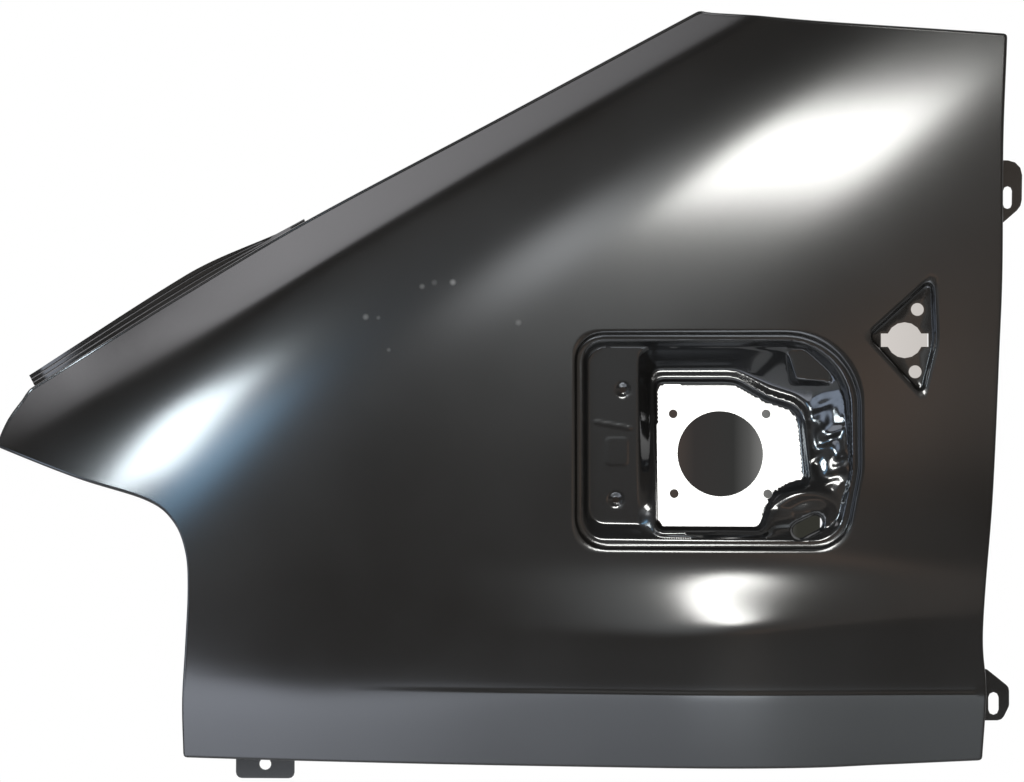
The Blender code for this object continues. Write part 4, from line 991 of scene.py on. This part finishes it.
def make_camera():
    lens = bpy.data.cameras.new("camera")
    lens.sensor_width = SENSOR_WIDTH
    lens.lens = SENSOR_WIDTH * CAMERA_DISTANCE / PICTURE_WIDTH
    camera = add_object("camera", lens)
    camera.location = toward(0.0, 0.0, CAMERA_DISTANCE, PICTURE_MIDDLE)
    camera.rotation_euler = (math.radians(90), 0.0, 0.0)
    bpy.context.scene.camera = camera


def make_world():
    """White to the camera and in reflections, and a soft grey light on the object."""
    world = bpy.data.worlds.new("studio")
    bpy.context.scene.world = world
    world.use_nodes = True
    nodes = world.node_tree.nodes
    links = world.node_tree.links
    for node in list(nodes):
        nodes.remove(node)
    output = nodes.new("ShaderNodeOutputWorld")
    soft = add_node(nodes, "ShaderNodeBackground", {"Color": WHITE, "Strength": WORLD_LIGHT})
    white = add_node(nodes, "ShaderNodeBackground", {"Color": WHITE, "Strength": 1.0})
    mix = nodes.new("ShaderNodeMixShader")
    rays = nodes.new("ShaderNodeLightPath")
    share = rays.outputs["Is Camera Ray"]
    for kind in ("Is Glossy Ray", "Is Transmission Ray"):
        either = nodes.new("ShaderNodeMath")
        either.operation = "MAXIMUM"
        links.new(share, either.inputs[0])
        links.new(rays.outputs[kind], either.inputs[1])
        share = either.outputs[0]
    links.new(share, mix.inputs["Fac"])
    links.new(soft.outputs[0], mix.inputs[1])
    links.new(white.outputs[0], mix.inputs[2])
    links.new(mix.outputs[0], output.inputs["Surface"])


def make_floor():
    mesh = bpy.data.meshes.new("floor")
    net = bmesh.new()
    bmesh.ops.create_circle(net, cap_ends=True, segments=96, radius=FLOOR_RADIUS)
    net.to_mesh(mesh)
    net.free()
    floor = add_object("floor", mesh)
    floor.location = (to_frame(PICTURE_MIDDLE[0], 0.0, 0.0).x, 0.0, FLOOR_HEIGHT)
    material, _, _, shader = new_material("pale_floor")
    shader.inputs["Base Color"].default_value = FLOOR_COLOUR
    shader.inputs["Roughness"].default_value = FLOOR_ROUGHNESS
    mesh.materials.append(material)


def above(value, limit, softness):
    """One above the limit and zero below it, with a soft change between them."""
    return 1.0 / (1.0 + np.exp(-np.clip((value - limit) / softness, -40.0, 40.0)))


def below(value, limit, softness):
    return above(-value, -limit, softness)


def band(value, low, high):
    """One between two limits, each with its softness, and zero beyond them."""
    return above(value, *low) * below(value, *high)


def soft_patch(azimuth, elevation, centre, half, tilt, softness):
    """Soft-edged rectangle of directions, turned anticlockwise by tilt; all in degrees."""
    across = (azimuth - centre[0]) * math.cos(math.radians(centre[1]))
    up = elevation - centre[1]
    c = math.cos(math.radians(tilt))
    s = math.sin(math.radians(tilt))
    along = across * c + up * s
    away = up * c - across * s
    return below(np.abs(along), half[0], softness) * below(np.abs(away), half[1], softness)


def surround_glow(azimuth, elevation):
    """Light of the room: a warm dim wall, glows round the lamps, and the pale wall at the far left."""
    sides = band(azimuth, *RIGHT_LIMITS) * (RIGHT_GLOW + RIGHT_LOW_GLOW * below(elevation, *RIGHT_LOW_TOP))
    sides += LEFT_GLOW * band(azimuth, *LEFT_LIMITS)
    wall = WALL_GLOW - FAR_LEFT_DIMMING * below(azimuth, *FAR_LEFT)
    wall -= CEILING_DIMMING * above(elevation, *CEILING) * above(azimuth, *CEILING_LEFT)
    glow = np.outer(wall + sides * below(elevation, *SIDES_TOP), WALL_COLOUR)
    for amount, centre, half, tilt, softness, colour in ROOM_PATCHES:
        glow += np.outer(amount * soft_patch(azimuth, elevation, centre, half, tilt, softness), colour)
    top = np.interp(azimuth, *zip(*PALE_TOPS))
    inside = below(elevation, top, PALE_TOP_SOFTNESS) * above(elevation, *PALE_FOOT)
    inside *= below(azimuth, *PALE_END)
    pale = PALE_GLOW - PALE_FALL_UP * (elevation - PALE_MIDDLE)
    pale -= PALE_FALL_LEFT * np.maximum(PALE_CORNER[0] - azimuth, 0.0)
    pale += PALE_CORNER_STEP * above(azimuth, *PALE_CORNER)
    return glow + np.outer(inside * pale, PALE_COLOUR)


def ground_glow(azimuth, elevation):
    """Pale ground in front, brighter to the left, with a soft edge just below the height of the sill."""
    edge = GROUND_EDGE - GROUND_EDGE_RISE * np.minimum(azimuth - GROUND_CORNER, 0.0)
    amount = np.interp(azimuth, *zip(*GROUND_GLOWS)) * below(elevation, edge, GROUND_EDGE_SOFTNESS)
    amount *= 1.0 + GROUND_GAIN * np.clip(elevation - GROUND_MIDDLE, -GROUND_REACH, GROUND_REACH)
    amount += GROUND_PATCH_GLOW * soft_patch(azimuth, elevation, *GROUND_PATCH)
    wall = LOW_WALL_GLOW + LOW_WALL_PATCH_GLOW * band(azimuth, *LOW_WALL_PATCH)
    wall = wall * above(elevation, edge, GROUND_EDGE_SOFTNESS)
    share = np.clip((azimuth - GROUND_COLOUR_START) / GROUND_COLOUR_RUN, 0.0, 1.0)[:, None]
    left, right = np.array(GROUND_COLOURS)
    return amount[:, None] * ((1.0 - share) * left + share * right) + np.outer(wall, WALL_COLOUR)


def glowing_material(name):
    """Black surface that only shines."""
    material, nodes, links, shader = new_material(name)
    shader.inputs["Base Color"].default_value = BLACK
    shader.inputs["Specular IOR Level"].default_value = 0.0
    shader.inputs["Emission Strength"].default_value = 1.0
    return material, nodes, links, shader


def glow_shell(name, glow, azimuths, elevations, distance, seen_from):
    """Part of a sphere round a point of the panel, shining inwards with the given light per direction."""
    columns = round((azimuths[1] - azimuths[0]) / GLOW_STEP)
    rows = round((elevations[1] - elevations[0]) / GLOW_STEP)
    grid = [(azimuths[0] + GLOW_STEP * i, elevations[0] + GLOW_STEP * j)
            for j in range(rows + 1) for i in range(columns + 1)]
    corners = [j * (columns + 1) + i for j in range(rows) for i in range(columns)]
    faces = [(a, a + 1, a + columns + 2, a + columns + 1) for a in corners]
    mesh = bpy.data.meshes.new(name)
    mesh.from_pydata([toward(a, e, distance, seen_from) for a, e in grid], [], faces)
    angles = np.array(grid)
    colours = np.ones((len(grid), 4))
    colours[:, :3] = glow(angles[:, 0], angles[:, 1])
    layer = mesh.color_attributes.new(name="glow", type="FLOAT_COLOR", domain="POINT")
    layer.data.foreach_set("color", colours.ravel())
    shell = add_object(name, mesh)
    shell.visible_camera = False
    shell.visible_shadow = False
    material, nodes, links, shader = glowing_material(name)
    colour = nodes.new("ShaderNodeVertexColor")
    colour.layer_name = "glow"
    links.new(colour.outputs["Color"], shader.inputs["Emission Color"])
    mesh.materials.append(material)


def make_painted_light_and_shade_card(name, low, high, depth, stops):
    """Dim glowing card seen through holes, with painted light and shade changing from left to right; it shows
    from the front only.
    """
    mesh = bpy.data.meshes.new(name)
    a = to_frame(low[0], depth, low[1])
    b = to_frame(high[0], depth, high[1])
    mesh.from_pydata([(a.x, a.y, a.z), (b.x, a.y, a.z), (b.x, a.y, b.z), (a.x, a.y, b.z)], [], [(0, 1, 2, 3)])
    painted_light_and_shade_card = add_object(name, mesh)
    material, nodes, links, shader = glowing_material(name)
    place = nodes.new("ShaderNodeTexCoord")
    split = nodes.new("ShaderNodeSeparateXYZ")
    links.new(place.outputs["Object"], split.inputs["Vector"])
    across = add_node(nodes, "ShaderNodeMapRange", {"From Min": a.x, "From Max": b.x})
    links.new(split.outputs["X"], across.inputs["Value"])
    shade = add_ramp(nodes, stops)
    links.new(across.outputs["Result"], shade.inputs["Fac"])
    links.new(shade.outputs["Color"], shader.inputs["Emission Color"])
    facing = nodes.new("ShaderNodeNewGeometry")
    clear = nodes.new("ShaderNodeBsdfTransparent")
    mix = nodes.new("ShaderNodeMixShader")
    links.new(facing.outputs["Backfacing"], mix.inputs["Fac"])
    links.new(shader.outputs[0], mix.inputs[1])
    links.new(clear.outputs[0], mix.inputs[2])
    links.new(mix.outputs[0], nodes["Material Output"].inputs["Surface"])
    mesh.materials.append(material)


def area_lamp(name, direction, distance, seen_from, size, tilt, radiance, colour):
    """Rectangular soft lamp of a given radiance, turned by tilt about its axis; the camera doesn't see it."""
    lamp = bpy.data.lights.new(name, "AREA")
    lamp.shape = "RECTANGLE"
    lamp.size, lamp.size_y = size
    lamp.color = colour
    lamp.energy = radiance * math.pi * size[0] * size[1]
    piece = add_object(name, lamp)
    piece.location = toward(*direction, distance, seen_from)
    aim = (to_frame(seen_from[0], 0.0, seen_from[1]) - piece.location).to_track_quat("-Z", "Y")
    piece.rotation_euler = (aim @ Quaternion((0.0, 0.0, 1.0), math.radians(tilt))).to_euler()
    piece.visible_camera = False


bpy.context.scene.view_settings.view_transform = "Standard"
make_camera()
skin_paint = primer("skin_primer", dark=(0.007, 0.0065, 0.006), light=(0.010, 0.0095, 0.009), roughness=0.165,
                    spread=0.010, grain=0.04, specks=DUST_SPECKS)
pocket_paint = primer("pocket_primer", dark=(0.007, 0.007, 0.007), light=(0.009, 0.009, 0.009),
                      roughness=0.11, spread=0.01, grain=0.02)
make_skin(skin_paint)
make_pocket(pocket_paint)
make_rail(skin_paint)
for name in ("upper_rear_bracket", "lower_rear_bracket", "bottom_bracket"):
    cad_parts[name].data.materials.clear()
    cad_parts[name].data.materials.append(skin_paint)
make_world()
make_floor()
# Glowing card with painted shade behind the filler neck, and a lighter painted band of light to the right
make_painted_light_and_shade_card("painted_light_and_shade_card", in_opening((0.08, -0.03)), in_opening((0.93, 0.83)), NECK_PAINTED_SHADE_DEPTH, NECK_PAINTED_SHADES)
# Glowing card with painted light behind the holes of the lamp recess
make_painted_light_and_shade_card("painted_light_card", in_lamp((0.1, 0.05)), in_lamp((0.95, 0.9)), LAMP_PAINTED_LIGHT_DEPTH, LAMP_PAINTED_LIGHT)
glow_shell("surround", surround_glow, azimuths=(-150.0, 96.0), elevations=(-25.5, 75.0), distance=12.0,
           seen_from=PICTURE_MIDDLE)
glow_shell("ground", ground_glow, azimuths=(-60.0, 45.0), elevations=(-40.5, 7.5), distance=1.9,
           seen_from=(500.0, 35.0))
area_lamp("key_softbox", direction=(-7.9, 23.3), distance=4.5, seen_from=(703.0, 509.0), size=(1.32, 0.56),
          tilt=-32.0, radiance=44.0, colour=(1.0, 1.0, 0.965))
area_lamp("window_light", direction=(-49.9, 23.2), distance=4.0, seen_from=(170.0, 273.0), size=(0.61, 0.73),
          tilt=0.0, radiance=46.0, colour=(0.84, 0.94, 1.0))
